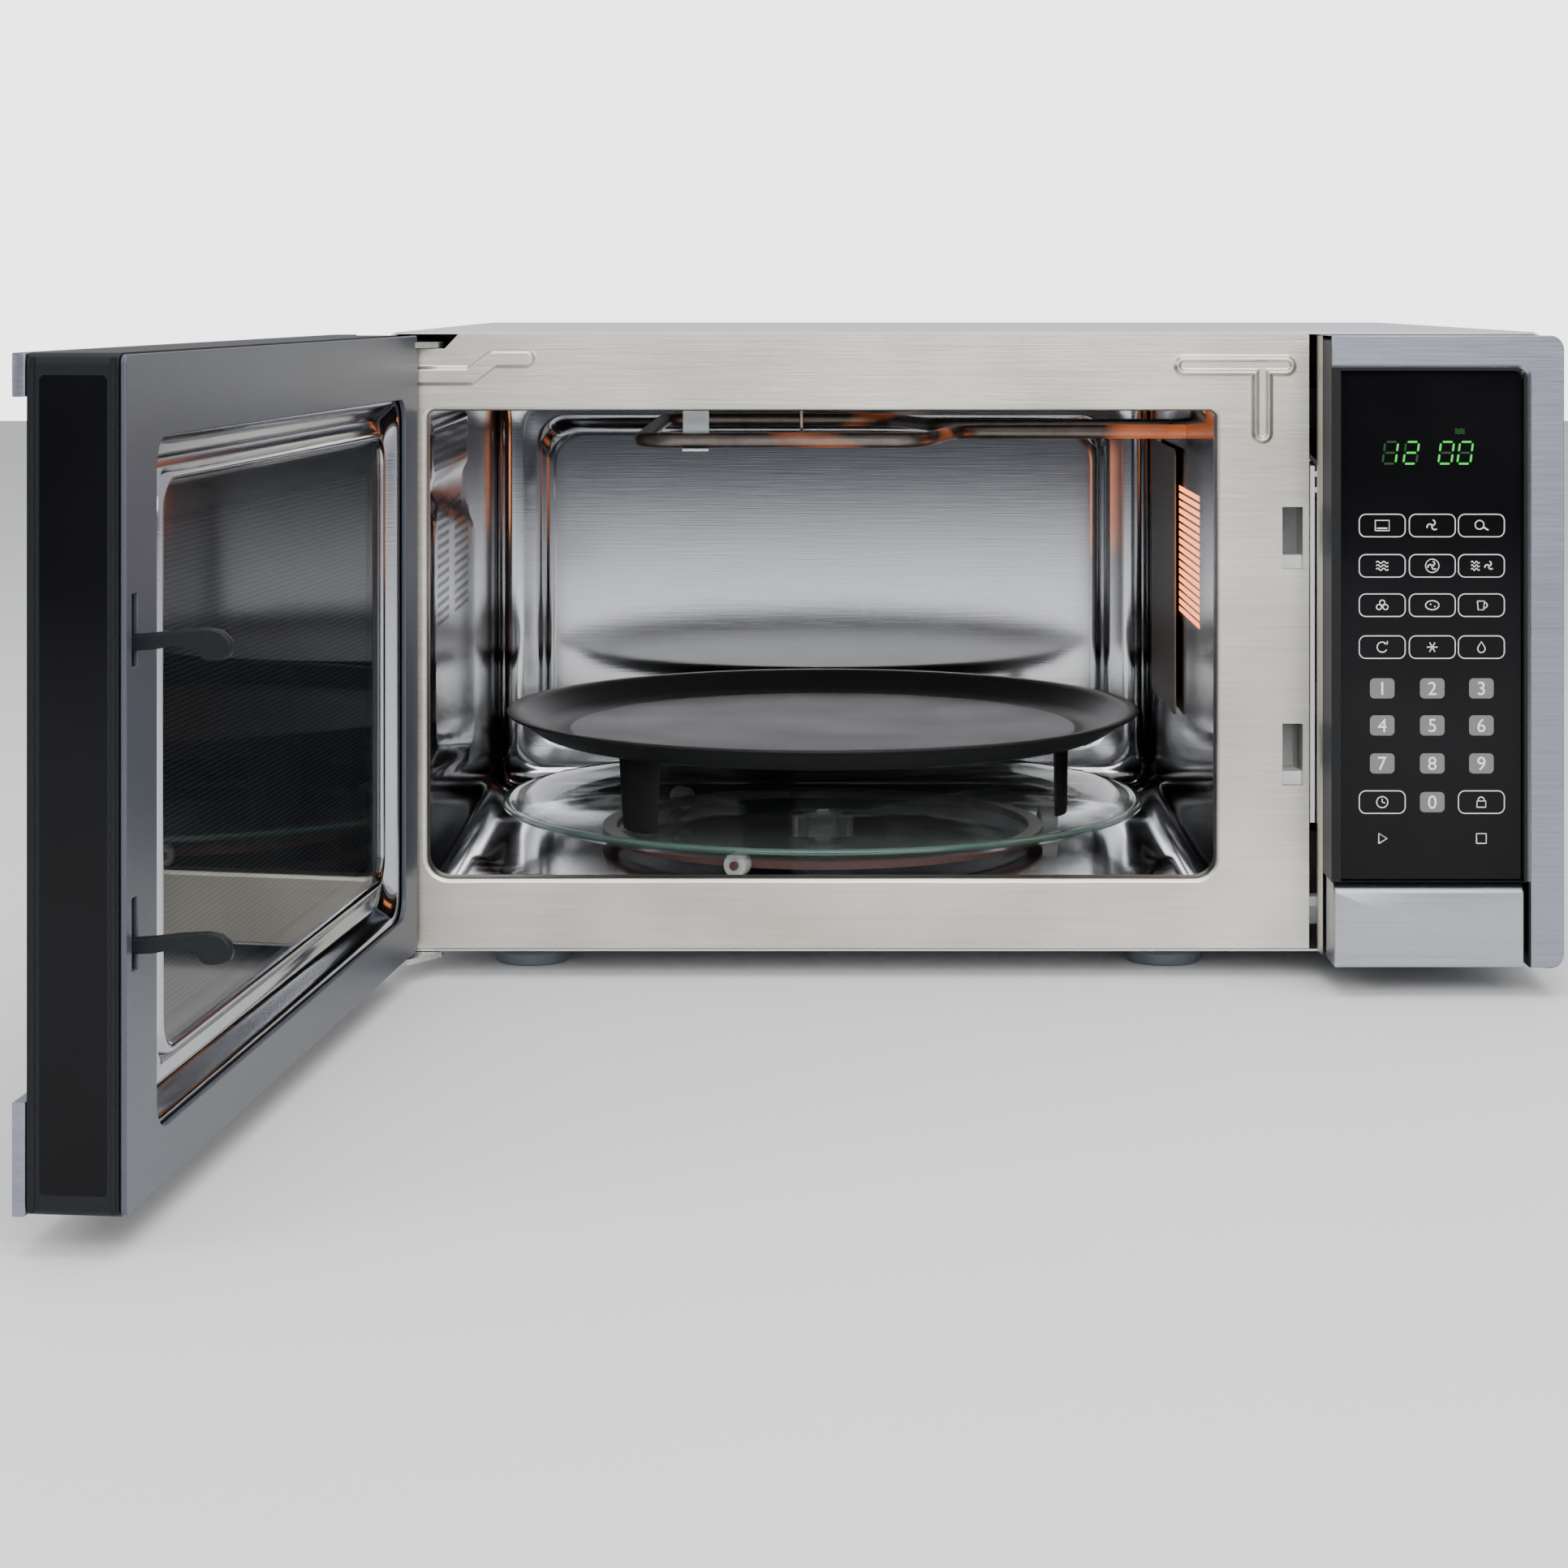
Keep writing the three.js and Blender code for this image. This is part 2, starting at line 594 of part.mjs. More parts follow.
function cordGland() {
  const y0 = cabinetBack - sheet - 6;
  const profile = [[0, 0], [glandRadius + 3, 0], [glandRadius + 3, 5.7], [glandRadius, 5.7],
    [glandRadius, 7.4], [glandRadius + 2, 7.4], [glandRadius + 1, 13], [0, 13]];
  const points = profile.map(([r, h]) => new THREE.Vector2(r, h));
  const body = new THREE.LatheGeometry(points, 20).translate(glandX, y0, glandZ);
  return solid(body).subtract(bar('y', 3.6, 6, glandX, y0 + 13, glandZ, 12));
}

// ---- control panel ----
const panelFront = -panelDepth;
const glassLeft = panelLeft + 4.4;
const glassRight = right - sideStrip;
const buttonTop = plateBottom + buttonHeight + 0.3;
const glassTop = plateTop - topStrip;
const wedgeZ = plateBottom + 8;
const wedgeSlope = latchTravel / buttonTravel;
const glassBottom = buttonTop + 0.7;

function panelHousing() {
  const w = plasticWall;
  const y1 = sheet;
  const shell = panelWithRadius(panelLeft, right - sheet - seam, panelFront + sheet + seam, y1, plateBottom,
    plateTop - sheet - seam, 3, 3);
  const hollow = block(panelLeft + w, right - sheet - seam - w, panelFront + glassRecess + glassThickness + w + seam,
    y1 + 1, plateBottom + w, plateTop - sheet - seam - w);
  const seat = block(glassLeft - seam, glassRight + seam, panelFront - 1, panelFront + glassRecess + glassThickness
    + seam, glassBottom - seam, glassTop + seam);
  const window = block(glassLeft + 4, glassRight - 4, panelFront, 0, glassBottom + 4, glassTop - 4);
  const buttonBay = block(panelLeft - 1, glassRight + 2.3, panelFront - 1, -9, plateBottom - 1, buttonTop + seam);
  return shell.subtract(hollow).subtract(seat).subtract(window).subtract(buttonBay);
}

// The stainless skin that wraps the top and the right side of the housing.
function panelTrim() {
  const outer = panelWithRadius(panelLeft, right, panelFront, sheet, plateBottom, plateTop, 4, 4);
  const inner = panelWithRadius(panelLeft - 5, right - sheet, panelFront + sheet, sheet + 1, plateBottom - 5,
    plateTop - sheet, 4, 3);
  const face = block(panelLeft - 1, glassRight + seam, panelFront - 1, panelFront + 2, plateBottom - 1,
    glassTop + seam);
  const buttonBay = block(panelLeft - 1, glassRight + 2.3, panelFront - 1, 2, plateBottom - 1, buttonTop + seam);
  return outer.subtract(inner).subtract(face).subtract(buttonBay);
}

function controlGlass() {
  const y0 = panelFront + glassRecess;
  return block(glassLeft, glassRight, y0, y0 + glassThickness, glassBottom, glassTop);
}

function controlBoard() {
  const y0 = panelFront + 14;
  return block(glassLeft + 2, glassRight - 6, y0, y0 + 1.6, glassBottom + 8, glassTop - 8);
}

function displayModule() {
  const y1 = panelFront + 14 - seam;
  const z1 = glassTop - 22;
  return block(glassLeft + 12, glassRight - 12, y1 - 5, y1, z1 - 26, z1);
}

function releaseButton() {
  const x0 = panelLeft + 1;
  const x1 = glassRight;
  const front = panelFront;
  const cap = sideways([[front, plateBottom], [front + 22, plateBottom], [front + 22, buttonTop],
    [front + 5, buttonTop], [front, buttonTop - 3]], x0, x1);
  const hollow = block(x0 + 2, x1 - 2, front + 6, front + 23, plateBottom + 2, buttonTop - 2);
  const tip = sideways([[front + 4, wedgeZ], [wedgeTip, wedgeZ], [wedgeTip, wedgeZ + 2],
    [wedgeTip - wedgeLength, wedgeZ + 2 + wedgeLength * wedgeSlope],
    [front + 4, wedgeZ + 2 + wedgeLength * wedgeSlope]], x0 + 6, x0 + 16);
  return cap.subtract(hollow).add(tip);
}

// A bar inside the interlock bracket: the button's wedge drives it up and its pegs lift the hooks.
function releaseSlider() {
  const x0 = latchX - 3;
  const x1 = latchX + 5;
  const under = (y) => wedgeZ + 2 + wedgeGap + wedgeSlope * (wedgeTip - y);
  const y0 = wedgeTip - 6;
  const y1 = wedgeTip + 2;
  const top = under(y0) + 4;
  const shoe = sideways([[y0, under(y0)], [y1, under(y1)], [y1, top], [y0, top]], x0, panelLeft + 17);
  const link = block(x0, x1, y0, sliderBack, top - 4, top);
  const rod = block(x0, x1, sliderBack - 5, sliderBack, top - 4, hookHeights[1] - hookDrop - 2);
  return hookHeights.reduce((body, z) => body.add(
    block(x0, x1, sliderBack - 14, sliderBack, z - hookDrop - 5, z - hookDrop - 2)), shoe.add(link).add(rod));
}

// ---- hinges ----
const armThickness = 2.5;
const upperArmBottom = plateTop - 6;
const lowerArmTop = baseBottom - seam;

// A flat arm fixed behind the front plate, with a pin that the door turns on.
function hingeArm(z0, pinFrom, pinTo) {
  const outline = new THREE.Shape();
  outline.moveTo(pivot.x + 18, 12);
  outline.lineTo(pivot.x - 2, 12);
  outline.absarc(pivot.x, pivot.y, 5, Math.PI, 1.5 * Math.PI, false);
  outline.lineTo(pivot.x + 5, pivot.y - 5);
  outline.lineTo(pivot.x + 18, cavityFront + 1);
  const arm = alongZ(outline, z0, z0 + armThickness);
  const pin = bar('z', pinRadius, pinTo - pinFrom, pivot.x, pivot.y, (pinFrom + pinTo) / 2, 20);
  return arm.add(pin);
}

// ---- door, drawn closed and then turned open ----
const doorLeft = left + 0.5;
const doorRight = panelLeft - 1.5;
const doorFace = -3;
const doorFront = doorFace - doorThickness;
const frameFront = doorFront + glassRecess;
const rimDepth = 2;
const hingeHole = pinRadius + pinClearance;
const recessLeft = openLeft + 6;
const recessRight = openRight + 11;
const recessBottom = openBottom - 12;
const recessTop = openTop + 6;
const windowLeft = openLeft + 42;
const windowRight = openRight - 29;
const windowBottom = openBottom + 21;
const windowTop = openTop - 30;
const slotX = latchX;

function hookSlots(body, y0, y1) {
  return hookHeights.reduce(
    (plate, z) => plate.subtract(block(slotX - 3, slotX + 3, y0, y1, z - 5, z + hookArm + 11)), body);
}

function doorFrame() {
  const w = 3;
  const y1 = doorFace - rimDepth - seam;
  const outer = panelWithRadius(doorLeft, doorRight, frameFront, y1, plateBottom, plateTop, 4, 4);
  const hollow = block(doorLeft + w, doorRight - w, frameFront + glassThickness + w, y1 + 1,
    plateBottom + w, plateTop - w);
  const glassSeat = block(doorLeft + 11.7, doorRight - 0.8, frameFront - 1, frameFront + glassThickness + seam,
    plateBottom + 36 - seam, plateTop - 14 + seam);
  const window = panelWithRadius(openLeft + 12, openRight - 4, frameFront - 1, 0, openBottom + 8, openTop - 12, 6);
  const holder = block(doorLeft + w - 1, doorLeft + 13, frameFront + 8, y1, plateTop - 34, plateTop - w + 1);
  const lower = block(doorLeft + w - 1, doorLeft + 13, frameFront + 8, y1, plateBottom + w - 1, plateBottom + 30);
  const upperNotch = block(doorLeft - 1, pivot.x + 24, -30, 0, upperArmBottom - 1, plateTop + 1);
  const pinHole = bar('z', hingeHole, 600, pivot.x, pivot.y, plateTop / 2, 20);
  return outer.subtract(hollow).subtract(glassSeat).subtract(window).add(holder).add(lower)
    .subtract(upperNotch).subtract(pinHole);
}

// Stainless strips along the top, the hinge side and the bottom of the door's face.
function doorTrim() {
  const y1 = frameFront - seam;
  const outer = panelWithRadius(doorLeft, doorRight, doorFront, y1, plateBottom, plateTop, 4, 4);
  const inside = block(doorLeft + 12, doorRight + 1, doorFront - 1, y1 + 1, plateBottom + 36, plateTop - 14);
  return outer.subtract(inside);
}

function doorGlass() {
  return block(doorLeft + 12, doorRight - 1.1, frameFront, frameFront + glassThickness, plateBottom + 36,
    plateTop - 14);
}

function chokeCover() {
  const rim = panelWithRadius(doorLeft + 0.5, doorRight - 0.5, doorFace - rimDepth, doorFace, plateBottom + 0.5,
    plateTop - 0.5, 4, 4);
  const hole = panelWithRadius(recessLeft, recessRight, -9, 0, recessBottom, recessTop, 10, 10);
  const upperNotch = block(doorLeft - 1, pivot.x + 24, -9, 0, upperArmBottom - 1, plateTop + 1);
  return hookSlots(rim.subtract(hole).subtract(upperNotch), -9, 0);
}

// The pressed steel inner plate: a flange behind the choke cover and a tray round the window.
function doorPlate() {
  const y1 = doorFace - rimDepth - seam;
  const x0 = Math.max(recessLeft - 12, pivot.x + 12);
  const flange = block(x0, recessRight + 12, y1 - sheet, y1, recessBottom - 9, recessTop + 9);
  const outer = panelWithRadius(recessLeft - 1, recessRight + 1, y1 - recessDepth, y1, recessBottom - 1,
    recessTop + 1, 11, 11);
  const inner = panelWithRadius(recessLeft, recessRight, y1 - recessDepth + sheet, y1 + 1, recessBottom,
    recessTop, 10, 10);
  const window = block(windowLeft, windowRight, y1 - 20, y1, windowBottom, windowTop);
  return flange.add(outer).subtract(inner).subtract(window);
}

function windowScreen() {
  const y1 = doorFace - rimDepth - 2 * seam - recessDepth;
  return block(windowLeft - 8, windowRight + 8, y1 - 0.8, y1, windowBottom - 8, windowTop + 8);
}

function windowPane() {
  const y0 = doorFace - rimDepth - recessDepth + sheet;
  return panelWithRadius(openLeft + 20, openRight - 8, y0, y0 + 1.6, openBottom + 8, openTop - 10, 6);
}

// One plate inside the door's free edge carries both hooks.
const latchBarY = doorFace - rimDepth - recessDepth - 6;

function doorLatch() {
  const x0 = slotX - hookThickness / 2;
  const spine = block(x0, x0 + hookThickness, latchBarY - 8, latchBarY, hookHeights[0] - 6, hookHeights[1] + 14);
  return hookHeights.reduce((body, z) => {
    const tip = doorFace + hookReach;
    const hook = sideways([[latchBarY - 1, z - 2], [doorFace, z], [tip - 11, z + hookLean],
      [tip - 11, z - hookDrop + 1], [tip - 7, z - hookDrop], [tip, z - hookDrop + 2],
      [tip, z + hookLean + 3], [tip - 6, z + hookArm + hookLean], [doorFace, z + hookArm],
      [latchBarY - 1, z + hookArm + 2]], x0, x0 + hookThickness);
    return body.add(hook);
  }, spine);
}

// A pull-down coil spring between the latch's spine and a peg in the door frame.
const springHeight = 20;

function latchSpring() {
  class Helix extends THREE.Curve {
    getPoint(t) {
      const angle = t * 2 * Math.PI * 6;
      return new THREE.Vector3(2.6 * Math.cos(angle), 2.6 * Math.sin(angle), t * springHeight);
    }
  }
  const wire = new THREE.Shape();
  wire.absarc(0, 0, 0.45, 0, 2 * Math.PI, false);
  const coil = new THREE.ExtrudeGeometry(wire,
    { steps: 60, extrudePath: new Helix(), bevelEnabled: false, curveSegments: 2 });
  return solid(coil.translate(slotX, latchBarY - 4, hookHeights[0] - 7 - springHeight));
}

// ---- the assembly ----
const cabinet = new THREE.Group();
cabinet.add(
  piece('base_plate', basePlate(), finishes.zinc),
  piece('outer_cover', outerCover(), finishes.cover),
  piece('rear_plate', rearPlate(), finishes.zinc),
  piece('front_plate', frontPlate(), finishes.brushed),
  piece('cavity_liner', cavityLiner(), finishes.mirror),
  piece('upper_hinge', hingeArm(upperArmBottom, upperArmBottom - 14, upperArmBottom + 1), finishes.zinc),
  piece('lower_hinge', hingeArm(lowerArmTop - armThickness, lowerArmTop - 1, lowerArmTop + 18), finishes.zinc),
  piece('waveguide_cover', waveguideCover(), finishes.mica),
  piece('grill_element', grillElement(), finishes.element),
  piece('grill_bracket', elementHanger(elementLeft + 20, elementFront, 12), finishes.zinc),
);

const frontFootY = 40;
const rearFootY = cabinetBack - 40;
const footPlaces = {
  foot_front_left: [left + 61, frontFootY],
  foot_front_middle: [cavityRight - 23, frontFootY],
  foot_front_right: [right - 41, frontFootY],
  foot_rear_left: [left + 61, rearFootY],
  foot_rear_right: [right - 41, rearFootY],
};
for (const [name, [x, y]] of Object.entries(footPlaces)) cabinet.add(piece(name, foot(x, y), finishes.rubber));

cabinet.add(
  piece('panel_housing', panelHousing(), finishes.black),
  piece('panel_trim', panelTrim(), finishes.cool),
  piece('control_glass', controlGlass(), finishes.blackGlass),
  piece('control_board', controlBoard(), finishes.board),
  piece('display_module', displayModule(), finishes.black),
  piece('release_button', releaseButton(), finishes.cool),
  piece('release_slider', releaseSlider(), finishes.white),
  piece('interlock_bracket', interlockBracket(), finishes.white),
  piece('switch_primary', microSwitch(hookHeights[1] - 4), finishes.black),
  piece('switch_monitor', microSwitch((hookHeights[0] + hookHeights[1]) / 2 - 8), finishes.black),
  piece('switch_secondary', microSwitch(hookHeights[0] - 4), finishes.black),
);

cabinet.add(
  piece('waveguide', waveguide(), finishes.zinc),
  piece('magnetron', magnetron(), finishes.copper),
  piece('transformer', transformer(), finishes.core),
  piece('hv_capacitor', capacitor(), finishes.zinc),
  piece('fan_shroud', fanShroud(), finishes.black),
  piece('cooling_fan', coolingFan(), finishes.white),
  piece('cooling_fan_motor', coolingFanMotor(), finishes.core),
  piece('turntable_motor', turntableMotor(), finishes.zinc),
  piece('convection_housing', convectionHousing(), finishes.zinc),
  piece('convection_heater', convectionHeater(), finishes.element),
  piece('convection_fan', convectionFan(), finishes.zinc),
  piece('convection_motor', convectionMotor(), finishes.core),
  piece('oven_lamp', ovenLamp(), finishes.white),
  piece('line_filter', lineFilter(), finishes.board),
  piece('cord_gland', cordGland(), finishes.black),
);

cabinet.add(
  piece('drive_coupler', driveCoupler(), finishes.white),
  piece('roller_ring', rollerRing(), finishes.ring),
  piece('glass_tray', glassTray(), finishes.glass),
  piece('crisper_pan', crisperPan(), finishes.pan),
);
wheelAngles.forEach((angle, i) => cabinet.add(piece(`roller_${i + 1}`, roller(angle), finishes.white)));
legAngles.forEach((angle, i) => cabinet.add(piece(`pan_leg_${i + 1}`, panLeg(angle), finishes.pan)));

const doorParts = new THREE.Group();
doorParts.position.copy(pivot).negate();
doorParts.add(
  piece('door_frame', doorFrame(), finishes.black),
  piece('door_trim', doorTrim(), finishes.cool),
  piece('door_glass', doorGlass(), finishes.blackGlass),
  piece('choke_cover', chokeCover(), finishes.choke),
  piece('door_plate', doorPlate(), finishes.mirror),
  piece('window_screen', windowScreen(), finishes.black),
  piece('window_pane', windowPane(), finishes.glass),
  piece('door_latch', doorLatch(), finishes.black),
  piece('latch_spring', latchSpring(), finishes.zinc),
);
const door = new THREE.Group();
door.position.copy(pivot);
door.rotation.z = -THREE.MathUtils.degToRad(doorAngle);
door.add(doorParts);

// The origin is the middle of the footprint, on the surface that the feet stand on.
const oven = new THREE.Group();
oven.add(cabinet, door);
oven.updateMatrixWorld(true);
const extent = new THREE.Box3().setFromObject(oven, true);
const middle = extent.getCenter(new THREE.Vector3());
oven.position.set(-middle.x, -middle.y, -extent.min.z);

export default oven;
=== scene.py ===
import json
import math

import bpy
import numpy as np
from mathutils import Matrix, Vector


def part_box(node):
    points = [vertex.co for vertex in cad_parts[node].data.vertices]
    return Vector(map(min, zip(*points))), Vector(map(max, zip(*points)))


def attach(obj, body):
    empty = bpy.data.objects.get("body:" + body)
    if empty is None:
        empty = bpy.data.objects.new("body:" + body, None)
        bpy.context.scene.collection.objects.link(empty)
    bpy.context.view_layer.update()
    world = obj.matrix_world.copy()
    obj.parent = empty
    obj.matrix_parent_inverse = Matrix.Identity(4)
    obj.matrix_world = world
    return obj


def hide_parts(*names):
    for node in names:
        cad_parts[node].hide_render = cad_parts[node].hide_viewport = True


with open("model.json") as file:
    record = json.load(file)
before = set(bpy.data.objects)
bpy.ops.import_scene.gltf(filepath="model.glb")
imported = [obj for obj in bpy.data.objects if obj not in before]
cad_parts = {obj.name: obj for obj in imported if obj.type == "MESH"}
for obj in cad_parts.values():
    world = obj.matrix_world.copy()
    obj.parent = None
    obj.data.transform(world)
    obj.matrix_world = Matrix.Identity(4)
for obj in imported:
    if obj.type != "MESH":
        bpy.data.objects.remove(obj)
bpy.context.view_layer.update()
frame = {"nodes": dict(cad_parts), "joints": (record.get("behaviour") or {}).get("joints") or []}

# ---- studio -------------------------------------------------------------------------------
# A pale floor under a white surround, with a darker band low down in front that polished steel
# mirrors. The camera looks level across the open front, shifted down to take in the whole oven.
cover_low, cover_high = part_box("outer_cover")
middle_x = (cover_low[0] + cover_high[0]) / 2
front_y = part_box("front_plate")[0][1]

eye = bpy.data.cameras.new("eye")
eye.sensor_width = 36.0
eye.lens = 73.6
eye.shift_x, eye.shift_y = -0.029, -0.3157
camera = bpy.data.objects.new("eye", eye)
camera.location = (middle_x - 0.0601, front_y - 1.4198, 0.305)
camera.rotation_euler = (math.radians(90), 0, 0)
bpy.context.collection.objects.link(camera)
bpy.context.scene.camera = camera


def soft_box(name, place, aim, size, power):
    """A square area light at one point, turned to face another."""
    lamp = bpy.data.lights.new(name, "AREA")
    lamp.shape, lamp.size, lamp.energy = "SQUARE", size, power
    lit = bpy.data.objects.new(name, lamp)
    lit.location = place
    way = np.array(aim) - np.array(place)
    flat = math.hypot(way[0], way[1])
    lit.rotation_euler = (math.atan2(flat, -way[2]), 0, math.atan2(way[1], way[0]) - math.pi / 2)
    bpy.context.collection.objects.link(lit)


soft_box("box_over", (0.1, -0.3, 2.0), (0, 0, 0.1), 1.8, 34)
soft_box("box_left", (-2.0, -1.6, 1.1), (-0.1, 0, 0.15), 1.4, 22)
soft_box("box_right", (1.7, -1.8, 1.0), (0.1, 0, 0.15), 1.2, 12)
soft_box("box_front", (0.2, -2.4, 1.25), (0, 0.1, 0.1), 1.5, 46)

world = bpy.data.worlds.new("surround")
bpy.context.scene.world = world
world.use_nodes = True


class Field:
    """An output of a node tree that can be used in sums: each operator adds one Math node."""

    def __init__(self, tree, socket):
        self.tree, self.socket = tree, socket

    def math(self, operation, *others, clamp=False):
        node = self.tree.nodes.new("ShaderNodeMath")
        node.operation, node.use_clamp = operation, clamp
        for slot, value in zip(node.inputs, (self, *others)):
            join(self.tree, slot, value)
        return Field(self.tree, node.outputs[0])

    def __add__(self, other):
        return self.math("ADD", other)

    def __sub__(self, other):
        return self.math("SUBTRACT", other)

    def __rsub__(self, other):
        return self.math("MULTIPLY_ADD", -1.0, other)

    def __mul__(self, other):
        return self.math("MULTIPLY", other)

    def __truediv__(self, other):
        return self.math("DIVIDE", other)

    def __gt__(self, other):
        return self.math("GREATER_THAN", other)

    def __lt__(self, other):
        return self.math("LESS_THAN", other)

    __radd__, __rmul__ = __add__, __mul__

    def between(self, low, high, soft):
        """1 from low to high, falling to 0 over a soft width outside them."""
        rise = ((self - low) / soft + 1).math("MINIMUM", 1)
        fall = ((high - self) / soft + 1).math("MINIMUM", 1)
        return rise.math("MINIMUM", fall).math("MAXIMUM", 0)


def join(tree, slot, value):
    """Puts a number, a colour or another node's output into a socket."""
    if isinstance(value, Field):
        tree.links.new(value.socket, slot)
    elif isinstance(value, tuple) and len(value) == 3 and len(slot.default_value) == 4:
        slot.default_value = (*value, 1)
    else:
        slot.default_value = value


def add_node(tree, kind, settings=None, inputs=None, out=0):
    """Adds any node: its settings first, then a value or a link for each named socket."""
    node = tree.nodes.new("ShaderNode" + kind)
    for key, value in (settings or {}).items():
        if key == "stops":
            ramp = node.color_ramp
            while len(ramp.elements) < len(value):
                ramp.elements.new(0.5)
            for element, (place, colour) in zip(ramp.elements, value):
                element.position, element.color = place, (*colour, 1)
        else:
            setattr(node, key, value)
    for key, value in (inputs or {}).items():
        join(tree, node.inputs[key], value)
    return Field(tree, node.outputs[out])


def mixed(tree, amount, first, second):
    """Colour first where amount is 0 and second where it is 1."""
    return add_node(tree, "Mix", {"data_type": "RGBA"}, {0: amount, 6: first, 7: second}, out=2)


air = world.node_tree
way = add_node(air, "TexCoord", out="Generated")
parts = [add_node(air, "SeparateXYZ", inputs={0: way}, out=k) for k in range(3)]
height = add_node(air, "MapRange", inputs={0: parts[2], 1: -0.12, 2: 0.62})
front = add_node(air, "MapRange", inputs={0: parts[1], 1: -0.2, 2: -0.75})
low_sky = add_node(air, "ValToRGB", {"stops": [
    (0.0, (0.72, 0.73, 0.74)), (0.05, (0.34, 0.36, 0.40)), (0.10, (0.06, 0.07, 0.10)),
    (0.17, (0.018, 0.023, 0.038)), (0.46, (0.03, 0.036, 0.055)), (0.70, (0.45, 0.46, 0.48)),
    (1.0, (0.85, 0.85, 0.85))]}, {0: height})
glow = mixed(air, front, (0.85, 0.86, 0.88), low_sky)
seen = add_node(air, "LightPath", out="Is Camera Ray")
join(air, air.nodes["Background"].inputs["Color"], mixed(air, seen, glow, (1.0, 1.0, 1.0)))
join(air, air.nodes["Background"].inputs["Strength"], seen * 2.6 + 0.85)


class Finish:
    """A material. Constants go straight on the shader's sockets; fields are linked to them."""

    def __init__(self, name, **constants):
        self.material = bpy.data.materials.new(name)
        self.material.use_nodes = True
        self.tree = self.material.node_tree
        self.skin = self.tree.nodes["Principled BSDF"]
        for key, value in constants.items():
            self.set(key.replace("_", " "), value)

    def set(self, socket, value):
        join(self.tree, self.skin.inputs[socket], value)
        return self

    def node(self, kind, settings=None, inputs=None, out=0):
        return add_node(self.tree, kind, settings, inputs, out)

    def mix(self, amount, first, second):
        return mixed(self.tree, amount, first, second)

    def place(self):
        """The x, y and z of a point on the surface, in metres."""
        point = self.node("TexCoord", out="Object")
        return [self.node("SeparateXYZ", inputs={0: point}, out=k) for k in range(3)]

    def noise(self, scale, detail=3.0):
        """Noise with its own number of features per metre along x, y and z."""
        point = self.node("TexCoord", out="Object")
        sized = self.node("Mapping", inputs={"Vector": point, "Scale": scale})
        return self.node("TexNoise", inputs={"Vector": sized, "Scale": 1.0, "Detail": detail})

    def bump(self, height, distance):
        """Raises the surface by a field times a distance in metres."""
        raised = self.node("Bump", inputs={"Height": height, "Distance": distance, "Strength": 1.0})
        return self.set("Normal", raised)


def laid_sheet(name, near, far, height, finish):
    """A level sheet across the whole studio, from near to far."""
    half = 6
    corners = [(-half, near, height), (half, near, height), (half, far, height), (-half, far, height)]
    mesh = bpy.data.meshes.new(name)
    mesh.from_pydata(corners, [], [(0, 1, 2, 3)])
    mesh.materials.append(finish.material)
    sheet = bpy.data.objects.new(name, mesh)
    bpy.context.collection.objects.link(sheet)
    return sheet


def plain_floor():
    """The floor: an off-white sheet with a faint mottle."""
    finish = Finish("studio_floor", Roughness=0.6)
    mottle = finish.noise((3, 3, 3))
    finish.set("Base Color", finish.mix(mottle, (0.80, 0.80, 0.80), (0.84, 0.84, 0.84)))
    laid_sheet("floor", -6, 6, 0, finish)


def dark_card():
    """A card on the floor far in front, seen only in reflections: grey near the oven, dark beyond."""
    finish = Finish("studio_card", Roughness=0.9)
    away = (finish.place()[1] * -1.0 - 1.1) / 1.5
    finish.set("Base Color", finish.mix(away.math("MAXIMUM", 0).math("MINIMUM", 1),
                                        (0.70, 0.71, 0.72), (0.03, 0.035, 0.05)))
    card = laid_sheet("card", -6, -1.1, 0.002, finish)
    card.visible_camera = card.visible_diffuse = card.visible_shadow = False


plain_floor()
dark_card()

# ---- feet and base ------------------------------------------------------------------------
# Five moulded grey feet, each a round stub with a waist and a soft lower edge, pushed into the
# folded steel base. The base and its finish are zinc plated sheet.


def spot(x, y, z):
    """Points given in millimetres right of the cabinet's middle, behind its front, above the table."""
    x, y, z = np.broadcast_arrays(x, y, z)
    return np.stack([middle_x + x * 0.001, front_y + y * 0.001, z * 0.001], -1)


def grid_faces(rows, columns, ring=False):
    """The quads between a grid's neighbours; a ring joins its last column to its first."""
    row = np.arange(rows - 1)[:, None]
    column = np.arange(columns if ring else columns - 1)[None, :]
    below, right = (row + 1) * columns, (column + 1) % columns
    corners = (row * columns + column, row * columns + right, below + right, below + column)
    return np.stack(np.broadcast_arrays(*corners), -1).reshape(-1, 4)


def piece(name, points, faces, finish, body="cabinet", toward=None, sharp=35, smooth=True):
    """A mesh on a body. Faces turn outward: by volume if closed, or to look toward a point if open."""
    points = np.asarray(points, float).reshape(-1, 3)
    mesh = bpy.data.meshes.new(name)
    mesh.from_pydata(points.tolist(), [], [list(face) for face in faces])
    count = len(mesh.polygons)
    normal, centre, area = np.empty(count * 3), np.empty(count * 3), np.empty(count)
    mesh.polygons.foreach_get("normal", normal)
    mesh.polygons.foreach_get("center", centre)
    mesh.polygons.foreach_get("area", area)
    normal, centre = normal.reshape(-1, 3), centre.reshape(-1, 3)
    out = centre - points.mean(0) if toward is None else np.asarray(toward) - centre
    if (normal * out * area[:, None]).sum() < 0:
        mesh.flip_normals()
    mesh.materials.append(finish.material)
    if smooth:
        mesh.shade_smooth()
        mesh.set_sharp_from_angle(angle=math.radians(sharp))
    made = bpy.data.objects.new(name, mesh)
    bpy.context.collection.objects.link(made)
    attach(made, body)
    return made


